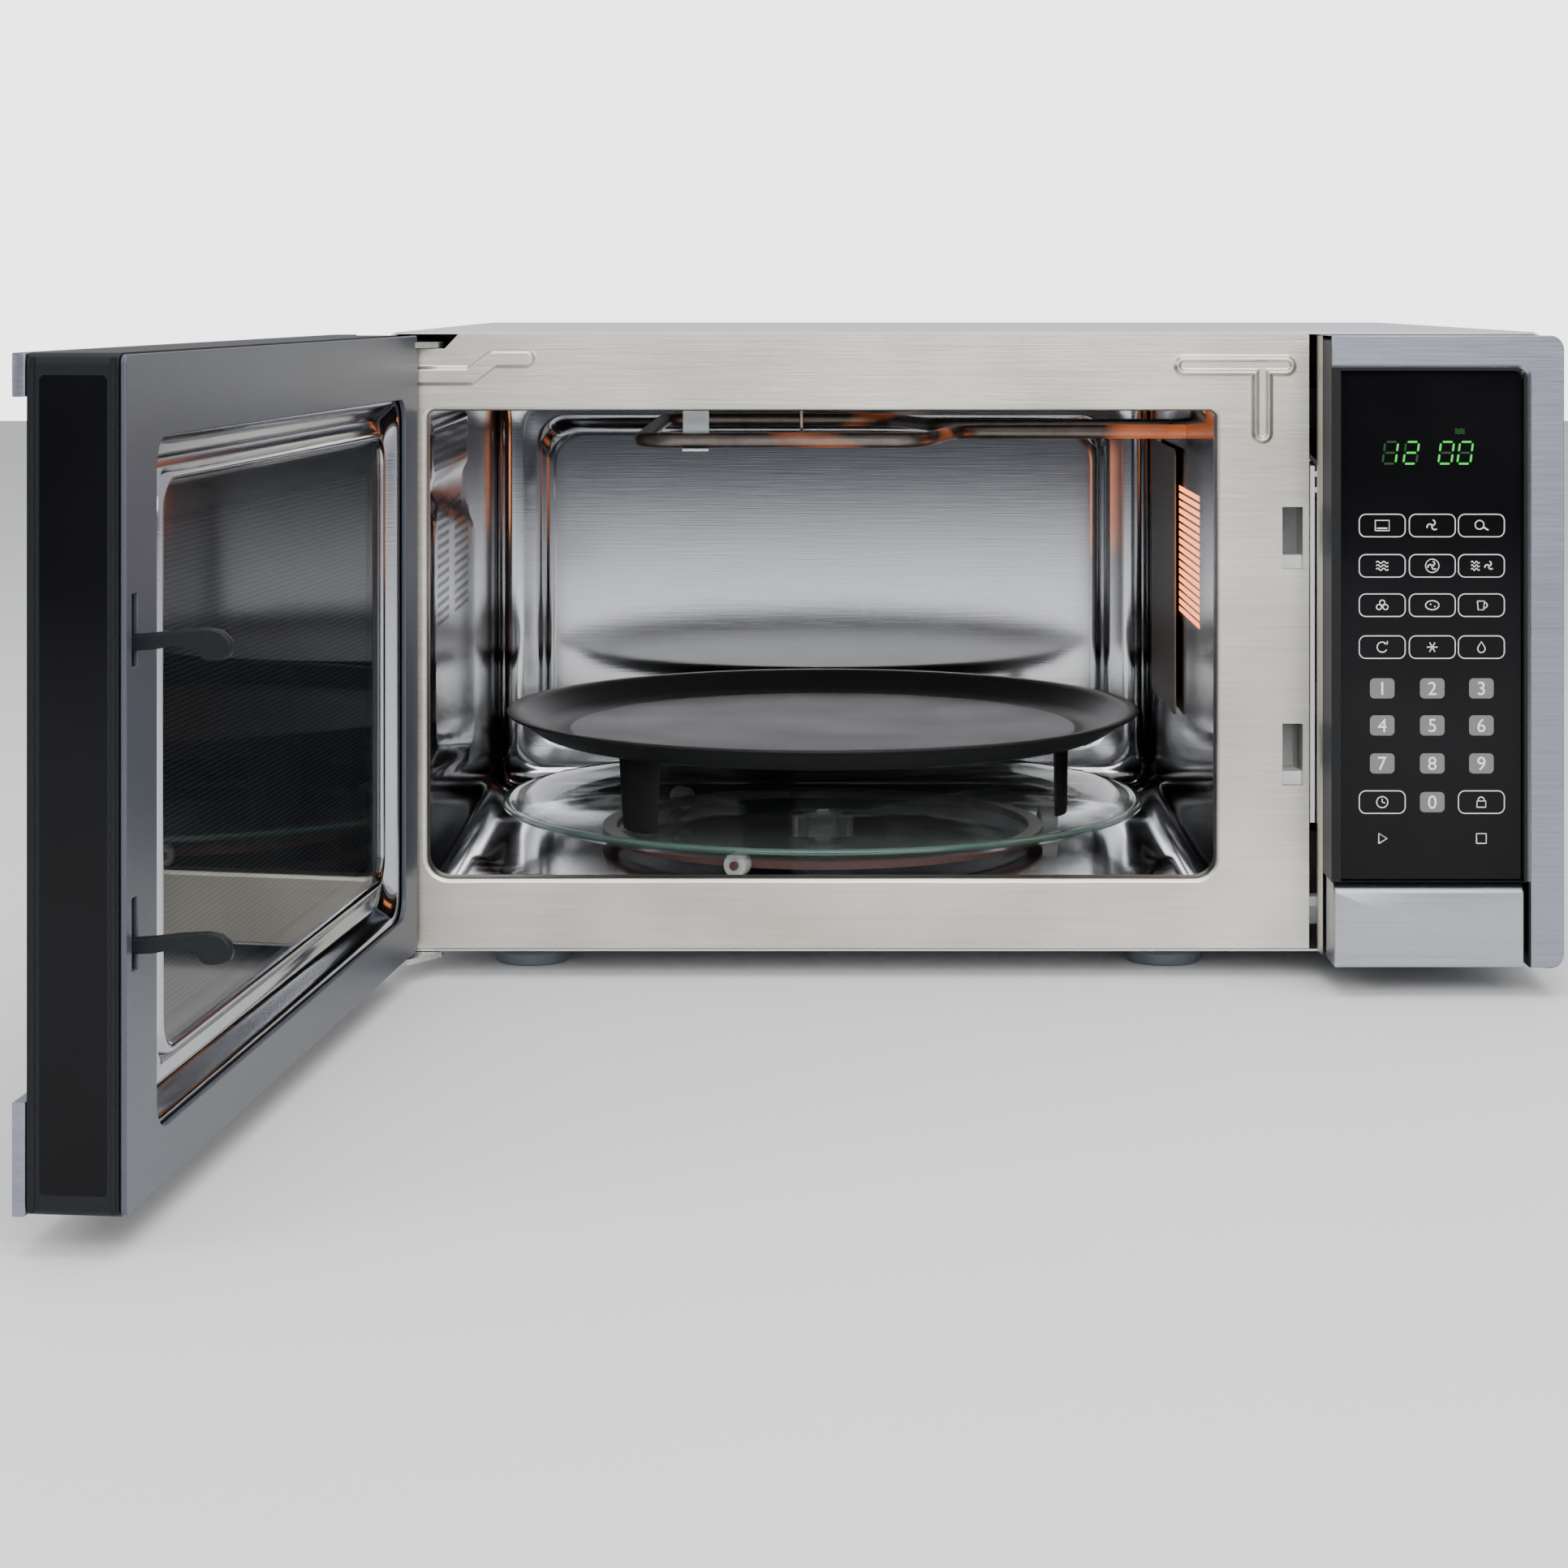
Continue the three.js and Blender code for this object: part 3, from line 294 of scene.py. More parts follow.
def capped(grid):
    """Rows of closed loops as one skin: its quads, and a flat face over each end."""
    rows, columns = grid.shape[:2]
    ends = [list(range(columns))[::-1], list(range((rows - 1) * columns, rows * columns))]
    return grid_faces(rows, columns, ring=True).tolist() + ends


def turned_loops(x, y, outline, around):
    """A lathe shape on an upright axis: each (radius, height) of the outline goes once round x, y."""
    angle = np.linspace(0, 2 * math.pi, around, endpoint=False)[None, :]
    radius, height = np.asarray(outline, float).T[:, :, None]
    return spot(x + radius * np.cos(angle), y + radius * np.sin(angle), height)


def moulded_grey():
    """Satin moulded plastic with a fine eggshell grain."""
    finish = Finish("foot_grey", Roughness=0.42)
    grain = finish.noise((900, 900, 900))
    finish.set("Base Color", finish.mix(grain, (0.13, 0.155, 0.18), (0.17, 0.195, 0.22)))
    return finish.bump(grain, 0.00008)


foot_finish = moulded_grey()
foot_outline = [(15.2, 0), (16.4, 0.5), (17, 1.6), (17, 5.2), (16.2, 6.2), (13.6, 6.8), (13.6, 11.2)]
for place in ("front_left", "front_middle", "front_right", "rear_left", "rear_right"):
    low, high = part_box("foot_" + place)
    foot_x, foot_y = ((low + high) / 2)[0] - middle_x, ((low + high) / 2)[1] - front_y
    loops = turned_loops(foot_x * 1000, foot_y * 1000, foot_outline, 40)
    foot = piece("moulded_foot_" + place, loops, capped(loops), foot_finish)
    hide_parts("foot_" + place)


def dress(finish, *names):
    """Gives a CAD piece that shows as it is its finish."""
    for name in names:
        materials = frame["nodes"][name].data.materials
        for k in range(len(materials)):
            materials[k] = finish.material


def zinc_sheet():
    """Zinc plated steel: dull, with a mottled crystal pattern in its shade and its gloss."""
    finish = Finish("zinc_sheet", Metallic=1.0)
    spangle = finish.noise((260, 260, 260), 4)
    finish.set("Base Color", finish.mix(spangle, (0.50, 0.51, 0.52), (0.66, 0.67, 0.68)))
    return finish.set("Roughness", spangle * 0.22 + 0.26)


zinc = zinc_sheet()
dress(zinc, "base_plate", "rear_plate", "convection_housing", "waveguide", "turntable_motor")

# ---- outer cover --------------------------------------------------------------------------
# One sheet of pre-coated steel folded over the top and both sides, with louvres at the back of
# each side, held to the base and the rear plate by self-tapping screws.


def coated_steel():
    """Light silver coating: barely metallic, with a fine orange-peel skin."""
    finish = Finish("silver_coat", Metallic=0.35, Roughness=0.38, Coat_Weight=0.15)
    fleck = finish.noise((1500, 1500, 1500), 2)
    cloud = finish.noise((9, 9, 9), 2)
    finish.set("Base Color", finish.mix(fleck * 0.5 + cloud * 0.5, (0.60, 0.61, 0.63), (0.70, 0.71, 0.73)))
    return finish.bump(fleck, 0.00004)


silver_coat = coated_steel()
dress(silver_coat, "outer_cover")


def bright_zinc():
    """Bright plated screw steel, faintly ringed by its turning."""
    finish = Finish("bright_zinc", Metallic=1.0)
    rub = finish.noise((700, 700, 700))
    finish.set("Base Color", finish.mix(rub, (0.62, 0.61, 0.58), (0.76, 0.75, 0.72)))
    return finish.set("Roughness", rub * 0.15 + 0.2)


screw_steel = bright_zinc()


def pan_screw(name, place, out):
    """A pan-head screw standing off a wall: a domed lathe whose crown is sunk in a cross."""
    head, cross_half, cross_deep = 3.4, 0.42, 0.9
    angle = np.linspace(0, 2 * math.pi, 32, endpoint=False)[None, :]
    radius = head * np.array([1.0, 1.0, 0.93, 0.78, 0.55, 0.32, 0.12])[:, None]
    lift = np.array([-0.4, 0.7, 1.25, 1.6, 1.75, 1.8, 1.8])[:, None]
    cross = np.minimum(abs(radius * np.cos(angle)), abs(radius * np.sin(angle))) < cross_half
    lift = lift - np.where(cross & (radius < head * 0.6), cross_deep, 0)
    out = np.array(out, float)
    side = np.cross(out, (0, 0, 1)) if abs(out[2]) < 0.9 else np.array([1.0, 0, 0])
    over = np.cross(side, out)
    turn = radius[..., None] * (np.cos(angle)[..., None] * side + np.sin(angle)[..., None] * over)
    grid = spot(*place) + 0.001 * (turn + lift[..., None] * out)
    piece(name, grid, capped(grid), screw_steel, sharp=50)


screw_places = [(x, 400.3, z) for z in (22, 277) for x in (-232, -80, 80, 232)]
for number, (x, y, z) in enumerate(screw_places):
    pan_screw(f"rear_screw_{number}", (x, y, z), (0, 1, 0))
for number, y in enumerate((30, 200, 384)):
    pan_screw(f"left_screw_{number}", (-256, y, 20), (-1, 0, 0))
    pan_screw(f"right_screw_{number}", (256, y, 20), (1, 0, 0))

# ---- front plate --------------------------------------------------------------------------
# A stainless sheet round the oven's mouth, brushed from side to side, with a rolled lip at the
# opening, two slots for the door's hooks, and two stiffening beads pressed in its upper corners.


def brushed(name, light, dark, rough, blotch):
    """Metal brushed from side to side: long thin streaks in shade, gloss and height, and broad clouds."""
    finish = Finish(name, Metallic=1.0)
    streak = finish.noise((30, 2600, 2600), 3)
    coarse = finish.noise((8, 700, 700), 2)
    cloud = finish.noise((11, 11, 14), 2)
    shade = streak * 0.45 + coarse * 0.3 + (cloud - 0.5) * blotch + 0.12
    finish.set("Base Color", finish.mix(shade, dark, light))
    finish.set("Roughness", (streak - 0.5) * 0.16 + rough)
    return finish.bump(streak * 0.6 + coarse * 0.4, 0.00006)


plate_steel = brushed("ivory_steel", (0.86, 0.825, 0.74), (0.40, 0.38, 0.33), 0.34, blotch=1.1)
mouth = (-238, 111, 44, 251)
mouth_x = (mouth[0] + mouth[1]) / 2
lip = 2.2


def rounded_ring(left, right, low, high, radii, arc=8, straight=2):
    """A rectangle with rounded corners, once round: each corner turns centre + r (cos t, sin t), and
    the runs between them are divided evenly. Radii go from the upper right, anticlockwise."""
    radii = (radii,) * 4 if np.isscalar(radii) else radii
    turn = np.linspace(0, math.pi / 2, arc)
    centres = [(right - radii[0], high - radii[0]), (left + radii[1], high - radii[1]),
               (left + radii[2], low + radii[2]), (right - radii[3], low + radii[3])]
    arcs = [np.array(centre) + radius * np.stack([np.cos(turn + k * math.pi / 2),
            np.sin(turn + k * math.pi / 2)], -1) for k, (centre, radius) in enumerate(zip(centres, radii))]
    share = np.linspace(0, 1, straight + 1)[1:-1, None]
    return np.concatenate([np.concatenate([arc_now, arc_now[-1] + share * (arc_next[0] - arc_now[-1])])
                           for arc_now, arc_next in zip(arcs, arcs[1:] + arcs[:1])])


def filled(curve):
    """The points and faces that a curve fills; the curve itself is thrown away."""
    drawn = bpy.data.objects.new("drawn", curve)
    mesh = bpy.data.meshes.new_from_object(drawn)
    points = np.empty(len(mesh.vertices) * 3)
    mesh.vertices.foreach_get("co", points)
    faces = [list(face.vertices) for face in mesh.polygons]
    bpy.data.objects.remove(drawn)
    bpy.data.curves.remove(curve)
    bpy.data.meshes.remove(mesh)
    return points.reshape(-1, 3), faces


def cut_sheet(rings, thick, edge=0.0):
    """A sheet filled between an outer ring and its holes; points in the plane, and depth 0 to -thick."""
    curve = bpy.data.curves.new("outline", "CURVE")
    curve.dimensions, curve.fill_mode = "2D", "BOTH"
    curve.extrude, curve.bevel_depth, curve.bevel_resolution = (thick - 2 * edge) / 2, edge, 2
    curve.offset = -edge
    for ring in rings:
        spline = curve.splines.new("POLY")
        spline.points.add(len(ring) - 1)
        ring = np.asarray(ring, float)
        spline.points.foreach_set("co", np.hstack([ring, np.zeros_like(ring)]).ravel())
        spline.use_cyclic_u = True
    points, faces = filled(curve)
    return points - [0, 0, thick / 2], faces


def oblong(left, right, low, high):
    """A square-cornered ring."""
    return np.array([(left, low), (right, low), (right, high), (left, high)], float)


jogged_bead = [(-246, 266.5), (-219, 266.5), (-209, 274.2), (-194.5, 274.2)]
tee_bead = [(97, 271), (142, 271), (131.5, 271), (131.5, 241)]
jogged_patch = (-252, -184, 259, 277.5)
tee_bar, tee_stem = (89, 150, 264, 279), (124, 139, 233, 264)
tee_hole = [(89, 264), (124, 264), (124, 233), (139, 233), (139, 264), (150, 264), (150, 279), (89, 279)]
plate_outline = [(-254, 13), (152.3, 13), (152.3, 285), (-224.5, 285), (-230.5, 278.6), (-254, 278.6)]
slots = [(140.5, 149.5, low, low + 27.5) for low in (85, 181)]
points, faces = cut_sheet([np.array(plate_outline, float), oblong(*jogged_patch), np.array(tee_hole, float),
                           rounded_ring(mouth[0] - lip, mouth[1] + lip, mouth[2] - lip, mouth[3] + lip,
                                        (5.2, 5.2, 11.7, 11.7))] + [oblong(*slot) for slot in slots], 1.0)
front_sheet = piece("front_sheet", spot(points[:, 0], -points[:, 2], points[:, 1]), faces, plate_steel)
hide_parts("front_plate")


def to_run(x, z, stops):
    """The distance from each point to the nearest point of a run of straight lines."""
    near = np.full(x.shape, 1e9)
    for (ax, az), (bx, bz) in zip(stops, stops[1:]):
        length = (bx - ax) ** 2 + (bz - az) ** 2
        share = np.clip(((x - ax) * (bx - ax) + (z - az) * (bz - az)) / length, 0, 1)
        near = np.minimum(near, np.hypot(x - ax - share * (bx - ax), z - az - share * (bz - az)))
    return near


def eased(value):
    """0 below 0, 1 above 1, and 3v^2 - 2v^3 between."""
    value = np.clip(value, 0, 1)
    return value * value * (3 - 2 * value)


def pressed_bead(name, patch, stops, half, height, groove=0.0):
    """A patch of the plate raised along a run of lines: height by how far a point is inside the
    bead's half width, eased over its shoulder, less a groove along its crest."""
    x, z = np.meshgrid(np.linspace(patch[0], patch[1], int((patch[1] - patch[0]) * 3)),
                       np.linspace(patch[2], patch[3], int((patch[3] - patch[2]) * 3)))
    near = to_run(x, z, stops)
    rise = height * eased((half - near) / 1.7) - groove * eased((half - 2.0 - near) / 1.4)
    grid = spot(x, -rise, z)
    piece(name, grid, grid_faces(*x.shape), plate_steel, toward=spot(x.mean(), -500, z.mean()), sharp=80)


pressed_bead("jogged_bead", jogged_patch, jogged_bead, 4.4, 2.3)
pressed_bead("tee_bead_bar", tee_bar, tee_bead, 4.8, 2.3, 1.5)
pressed_bead("tee_bead_stem", tee_stem, tee_bead, 4.8, 2.3, 1.5)

# The lip rolls from the sheet's face into the mouth on a quarter round, then runs straight back.
roll = np.linspace(0, math.pi / 2, 7)
lip_out = np.concatenate([lip * (1 - np.sin(roll)), [0.0]])
lip_deep = np.concatenate([lip * (1 - np.cos(roll)), [9.0]])
lip_grid = np.stack([np.insert(rounded_ring(mouth[0] - out, mouth[1] + out, mouth[2] - out, mouth[3] + out,
                     (3 + out, 3 + out, 9.5 + out, 9.5 + out), straight=12), 1, deep, 1)
                     for out, deep in zip(lip_out, lip_deep)])
lip_points = spot(*np.moveaxis(lip_grid, -1, 0))
piece("mouth_lip", lip_points, grid_faces(*lip_points.shape[:2], ring=True), plate_steel,
      toward=spot(mouth_x, -60, 147), sharp=80)
for number, slot in enumerate(slots):
    ring = oblong(*slot)
    grid = spot(ring[None, :, 0], np.array([0.0, 7.0])[:, None], ring[None, :, 1])
    piece(f"hook_slot_{number}", grid, grid_faces(2, 4, ring=True), plate_steel,
          toward=spot(145, 3, ring[:, 1].mean()), smooth=False)

# ---- cavity -------------------------------------------------------------------------------
# A polished stainless box welded behind the front plate: coves along its edges, a deep panel
# pressed in the back wall, pressed fields with punched air holes on the left, and on the right a
# grille whose slots are painted with an orange glow, standing in for light from behind.

cavity = dict(left=-242, right=115, low=30.5, high=256, back=350.3)
tray_x, tray_y = mouth_x, 184.8
panel_proud = 4.4


def mirror_steel():
    """Bright rolled stainless: faint side-to-side grain, punched holes, and grille slots painted with an
    orange glow.
    """
    finish = Finish("mirror_steel", Metallic=1.0)
    x, y, z = finish.place()
    x, y, z = (x - middle_x) * 1000, (y - front_y) * 1000, z * 1000
    grain = finish.noise((30, 30, 2400), 3)
    cloud = finish.noise((14, 14, 14), 2)
    on_left, on_right = x < -236, x > 113.5
    pitch = 4.4
    along = (y / pitch).math("FRACT") - 0.5
    up = (z / pitch).math("FRACT") - 0.5
    dot = (along * along + up * up).math("SQRT") < 0.31
    fields = y.between(30, 160, 0.1) * z.between(222, 240, 0.1) + z.between(151, 204, 0.1) * (
        y.between(40, 84, 0.1) + y.between(107, 162, 0.1))
    holes = dot * on_left * fields.math("MINIMUM", 1)
    bars = ((z - 143) / 3.76).math("FRACT").between(0.3, 0.95, 0.03)
    grille_slots_painted_glow = on_right * y.between(97, 185, 0.5) * z.between(143, 207, 0.2) * bars
    open_parts = holes.math("MAXIMUM", grille_slots_painted_glow)
    steel = finish.mix(grain * 0.6 + cloud * 0.3, (0.40, 0.405, 0.42), (0.60, 0.605, 0.62))
    finish.set("Base Color", finish.mix(open_parts, steel, (0.02, 0.015, 0.012)))
    finish.set("Metallic", 1 - open_parts * 0.8)
    finish.set("Roughness", grain * 0.05 + open_parts * 0.4 + 0.075)
    # painted glow: the grille's slots emit orange, standing in for light from behind and for its reflections
    # in the walls
    finish.set("Emission Color", finish.mix(grille_slots_painted_glow, (0, 0, 0), (1.0, 0.27, 0.09)))
    finish.set("Emission Strength", 3.4)
    return finish.bump(grain + open_parts * -9.0, 0.000008)


mirror = mirror_steel()
side_steps = 44


def cavity_loop(y, inset, radius):
    """Once round the box's inside at one depth, inset from its walls."""
    ring = rounded_ring(cavity["left"] + inset, cavity["right"] - inset, cavity["low"] + inset,
                        cavity["high"] - inset, radius, straight=side_steps)
    return np.insert(ring, 1, y, 1)


cove, wall_steps = 12, 90
bend = np.linspace(0, math.pi / 2, 9)
depths = [(y, 0, 13) for y in np.linspace(9.0, cavity["back"] - cove, wall_steps)]
depths += [(cavity["back"] - cove + cove * math.sin(t), cove * (1 - math.cos(t)), 13 + 3 * math.sin(t))
           for t in bend[1:]]
shoulder = np.linspace(0, 1, 9)
depths += [(cavity["back"], inset, 16) for inset in (14, 17, 20)]
depths += [(cavity["back"] - panel_proud * eased(s), 21 + 8 * s, 16) for s in shoulder]
depths += [(cavity["back"] - panel_proud, inset, 15) for inset in (32, 36, 44, 60, 80)]
walls = np.stack([cavity_loop(*depth) for depth in depths])
x, y, z = np.moveaxis(walls, -1, 0)


def field_rise(y, z, box, radius, slope):
    """A pressed field: 1 inside a rounded rectangle, easing to 0 over its sloping edge."""
    half_y, half_z = (box[1] - box[0]) / 2 - radius, (box[3] - box[2]) / 2 - radius
    dy = np.maximum(abs(y - (box[0] + box[1]) / 2) - half_y, 0)
    dz = np.maximum(abs(z - (box[2] + box[3]) / 2) - half_z, 0)
    return eased((radius - np.hypot(dy, dz)) / slope)


left_wall = x < cavity["left"] + 0.01
pressed = 3.5 * field_rise(y, z + (y - 100) * 0.12, (22, 205, 80, 207), 22, 9)
pressed += 3.0 * field_rise(y, z, (18, 176, 213, 250), 14, 7)
x = x + np.where(left_wall, pressed, 0)
floor_part = z < cavity["low"] + 0.01
basin = 1.6 * eased((178 - np.hypot(x - tray_x, y - tray_y)) / 10)
z = z - np.where(floor_part & (y < 330), np.minimum(basin, 0.8), 0)
liner_points = spot(x, y, z)
rows, columns = liner_points.shape[:2]
liner_faces = grid_faces(rows, columns, ring=True).tolist()
liner_faces.append(list(range((rows - 1) * columns, rows * columns)))
liner = piece("polished_liner", liner_points, liner_faces, mirror, toward=spot(mouth_x, 120, 147), sharp=60)
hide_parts("cavity_liner")

# ---- waveguide cover and grill element ----------------------------------------------------
# A grey-brown mica sheet covers the microwave port. Above, a steel-sheathed grill element runs
# round the ceiling, hung by a zinc strap in front and a bent wire clip behind.


def mica_sheet():
    """Pressed mica: grey-brown, silky, with pale flakes."""
    finish = Finish("mica_sheet", Roughness=0.45)
    flake = finish.noise((190, 190, 190), 5)
    return finish.set("Base Color", finish.mix(flake, (0.13, 0.105, 0.085), (0.27, 0.225, 0.185)))


dress(mica_sheet(), "waveguide_cover")


def fired_sheath():
    """Heat-darkened steel tube, with a dull orange glow painted on in patches."""
    finish = Finish("fired_sheath", Metallic=0.85, Roughness=0.38)
    scale = finish.noise((120, 120, 120), 4)
    glow = finish.noise((16, 16, 16), 1)
    finish.set("Base Color", finish.mix(scale, (0.10, 0.085, 0.075), (0.24, 0.21, 0.185)))
    # painted glow: noise patches of the tube emit dull orange, standing in for orange reflections on it
    painted_glow_patches = ((glow - 0.6) * 8).math("MAXIMUM", 0).math("MINIMUM", 1)
    finish.set("Emission Color", finish.mix(painted_glow_patches, (0, 0, 0), (1.0, 0.22, 0.05)))
    return finish.set("Emission Strength", 0.5)


def run_with_bends(stops, bend, steps=9):
    """A line through stops whose corners become arcs: each is a quadratic curve from one tangent
    point to the next, a bend's length either side of the stop."""
    stops = np.asarray(stops, float)
    share = np.linspace(0, 1, steps)[:, None]
    path = [stops[:1]]
    for before, corner, after in zip(stops, stops[1:], stops[2:]):
        start = corner + (before - corner) / np.linalg.norm(before - corner) * bend
        end = corner + (after - corner) / np.linalg.norm(after - corner) * bend
        path.append((1 - share) ** 2 * start + 2 * share * (1 - share) * corner + share ** 2 * end)
    return np.concatenate(path + [stops[-1:]])


def carried(path, section, up):
    """A section carried along a path in a plane: each point is path + a side + b up, the side being
    across both the path's way and up."""
    ahead = np.gradient(path, axis=0)
    ahead = ahead / np.linalg.norm(ahead, axis=1, keepdims=True)
    side = np.cross(ahead, up)
    side = side / np.linalg.norm(side, axis=1, keepdims=True)
    section = np.asarray(section, float)
    return path[:, None] + section[None, :, :1] * side[:, None] + section[None, :, 1:] * np.asarray(up, float)


def round_section(radius, around=16):
    """A circle of points."""
    angle = np.linspace(0, 2 * math.pi, around, endpoint=False)
    return radius * np.stack([np.cos(angle), np.sin(angle)], -1)


def in_frame(points):
    """The same points, from millimetres in the oven's own frame to metres in the shared one."""
    return spot(*np.moveaxis(points, -1, 0))


element_stops = [(114.7, 153, 235), (2.5, 153, 235), (-17.5, 63, 235), (-148, 63, 235), (-148, 296.3, 235),
                 (-29.5, 296.3, 235), (-3.5, 224, 235), (114.7, 224, 235)]
element_run = run_with_bends(element_stops, 15)
element = in_frame(carried(element_run, round_section(3.4, 20), (0, 0, 1)))
sheath = piece("grill_tube", element, capped(element), fired_sheath())
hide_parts("grill_element")
dress(zinc, "grill_bracket")
clip_run = run_with_bends([(-75, 296.3, 255.6), (-75, 290.5, 255.6), (-75, 290.5, 229.5), (-75, 302, 229.5),
                           (-75, 302, 240)], 2.5, 5)
clip = in_frame(carried(clip_run, round_section(0.8, 8), (1, 0, 0)))
piece("grill_clip", clip, capped(clip), screw_steel)

# ---- turntable ----------------------------------------------------------------------------
# A moulded glass tray turns on a clear coupler, carried by three white rollers on a brown plastic
# ring that runs round the floor beneath it.


def soda_glass():
    """Clear moulded glass, green through its edge."""
    finish = Finish("soda_glass", Roughness=0.03, IOR=1.7)
    x, y, z = finish.place()
    x, y = x - (middle_x + tray_x * 0.001), y - (front_y + tray_y * 0.001)
    rim_start, rim_wide = 0.139, 0.017
    rim = (((x * x + y * y).math("SQRT") - rim_start) / rim_wide).math("MAXIMUM", 0).math("MINIMUM", 1)
    swirl = finish.noise((40, 40, 40), 1)
    finish.set("Base Color", finish.mix(rim, (0.42, 0.50, 0.46), (0.10, 0.19, 0.155)))
    finish.set("Alpha", rim * 0.5 + 0.22)
    return finish.bump(swirl, 0.0001)


tray_outline = [(0.02, 42.9), (20, 42.9), (24, 42.5), (133, 42.5), (138, 42.9), (143, 44.2), (152, 47.4),
                (157.5, 48.7), (159.2, 49.8), (159.5, 50.9), (158.8, 51.8), (157, 52), (154.5, 51.7),
                (150, 50.6), (141, 48.3), (135.5, 47.5), (60, 47.4), (58, 47.0), (20, 47.0), (0.02, 47.0)]
tray = turned_loops(tray_x, tray_y, tray_outline, 128)
tray_piece = piece("turntable_glass", tray, capped(tray), soda_glass(), body="glass_tray", sharp=50)
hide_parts("glass_tray")


def ring_brown():
    """Heat-proof moulding in dull mauve brown, slightly waxy."""
    finish = Finish("ring_brown", Roughness=0.4)
    grain = finish.noise((500, 500, 500), 3)
    finish.set("Base Color", finish.mix(grain, (0.135, 0.066, 0.062), (0.19, 0.10, 0.092)))
    return finish.bump(grain, 0.00005)


ring_finish = ring_brown()
dress(ring_finish, "roller_ring")


def cream_nylon():
    """Translucent white nylon."""
    finish = Finish("cream_nylon", Roughness=0.33, Subsurface_Weight=0.15)
    grain = finish.noise((600, 600, 600))
    finish.set("Base Color", finish.mix(grain, (0.74, 0.74, 0.71), (0.83, 0.83, 0.80)))
    return finish.bump(grain, 0.00004)


nylon = cream_nylon()
wheel_outline = [(2.2, -4.6), (4.7, -4.5), (5.3, -4.2), (5.7, -3.4), (5.7, 3.4), (5.3, 4.2), (4.7, 4.5),
                 (3.1, 4.5), (2.9, 3.7), (2.2, 3.7)]
pin_outline = [(2.1, 4.0), (2.1, 5.0), (1.2, 5.2)]
upright = np.array([0, 0, 1.0])


def axle_loops(centre, out, outline):
    """A lathe shape on a level axle: each (radius, distance along) of the outline goes once round it."""
    side = np.array([-out[1], out[0], 0])
    radius, along = np.asarray(outline).T[:, :, None, None]
    angle = np.linspace(0, 2 * math.pi, 36, endpoint=False)[None, :, None]
    return centre + 0.001 * (along * out + radius * (np.cos(angle) * side + np.sin(angle) * upright))


for number, degrees in ((1, 10), (2, 130), (3, 250)):
    low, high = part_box(f"roller_{number}")
    centre = np.array((low + high) / 2)
    out = np.array([math.cos(math.radians(degrees)), math.sin(math.radians(degrees)), 0])
    loops = axle_loops(centre, out, wheel_outline)
    wheel = piece(f"white_roller_{number}", loops, capped(loops), nylon, body=f"roller_{'abc'[number - 1]}")
    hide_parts(f"roller_{number}")
    pin = axle_loops(centre, out, pin_outline)
    piece(f"roller_pin_{number}", pin, capped(pin), ring_finish, body="roller_ring")


def clear_moulding():
    """Heat-proof clear plastic, faintly smoky."""
    finish = Finish("clear_moulding", Roughness=0.12, Transmission_Weight=0.85, IOR=1.49)
    haze = finish.noise((90, 90, 90))
    return finish.set("Base Color", finish.mix(haze, (0.78, 0.79, 0.78), (0.86, 0.87, 0.86)))


dress(clear_moulding(), "drive_coupler")

# ---- crisper pan --------------------------------------------------------------------------
# A shallow pressed pan with a rolled rim, coated black inside and out, on three folded legs.


def black_coating():
    """Non-stick coating: charcoal with a fine glitter, its gloss a little uneven."""
    finish = Finish("black_coating", Specular_IOR_Level=0.16)
    fleck = finish.noise((1400, 1400, 1400), 2)
    wear = finish.noise((22, 22, 22), 3)
    finish.set("Base Color", finish.mix(fleck, (0.010, 0.010, 0.011), (0.030, 0.030, 0.032)))
    finish.set("Roughness", wear * 0.12 + 0.36)
    return finish.bump(fleck, 0.00004)


coating = black_coating()
pan_outline = [(0.02, 84.5), (134, 84.5), (139, 84.8), (143, 86.4), (152, 93), (155, 94.6), (157, 95.0),
               (157.5, 95.7), (157.2, 96.3), (156.2, 96.5), (153, 96.2), (150.6, 94.8), (142, 88.2),
               (138, 86.8), (133, 86.4), (128, 86.3), (126.5, 86.8), (124.8, 86.8), (123, 86.3),
               (0.02, 86.3)]
pan = turned_loops(tray_x, tray_y, pan_outline, 144)
pan_piece = piece("coated_pan", pan, capped(pan), coating, body="crisper_pan", sharp=50)
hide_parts("crisper_pan")
leg_out = 121.0
for number, degrees in ((1, 104.5), (2, 224.5), (3, 344.5)):
    out = np.array([math.cos(math.radians(degrees)), math.sin(math.radians(degrees)), 0])
    side = np.array([-out[1], out[0], 0])
    height = np.array([47.8, 48.2, 50.5, 60, 72, 80, 84.4])
    half = np.array([9.5, 11.2, 12.2, 13, 14, 14.7, 15])
    turn = np.linspace(0, 2 * math.pi, 28, endpoint=False)
    across = np.sign(np.cos(turn)) * abs(np.cos(turn)) ** 0.35
    deep = np.sign(np.sin(turn)) * abs(np.sin(turn)) ** 0.5
    bow = 1.6 * (1 - across ** 2)
    loops = in_frame(np.array([tray_x, tray_y, 0]) + (leg_out + (deep + bow)[None, :, None]) * out
                     + half[:, None, None] * across[None, :, None] * side + height[:, None, None] * upright)
    leg = piece(f"folded_leg_{number}", loops, capped(loops), coating, body="crisper_pan")
    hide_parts(f"pan_leg_{number}")

# ---- control panel ------------------------------------------------------------------------
# A black moulded housing wrapped by a brushed steel trim, with a black glass keypad let into it
# behind a chamfered edge, and a long steel-faced button below that lets the door go.


def moulded_black():
    """Black moulded plastic with a fine spark-eroded grain."""
    finish = Finish("moulded_black", Roughness=0.42, Specular_IOR_Level=0.18)
    grain = finish.noise((1100, 1100, 1100), 2)
    finish.set("Base Color", finish.mix(grain, (0.003, 0.004, 0.005), (0.011, 0.013, 0.015)))
    return finish.bump(grain, 0.00005)


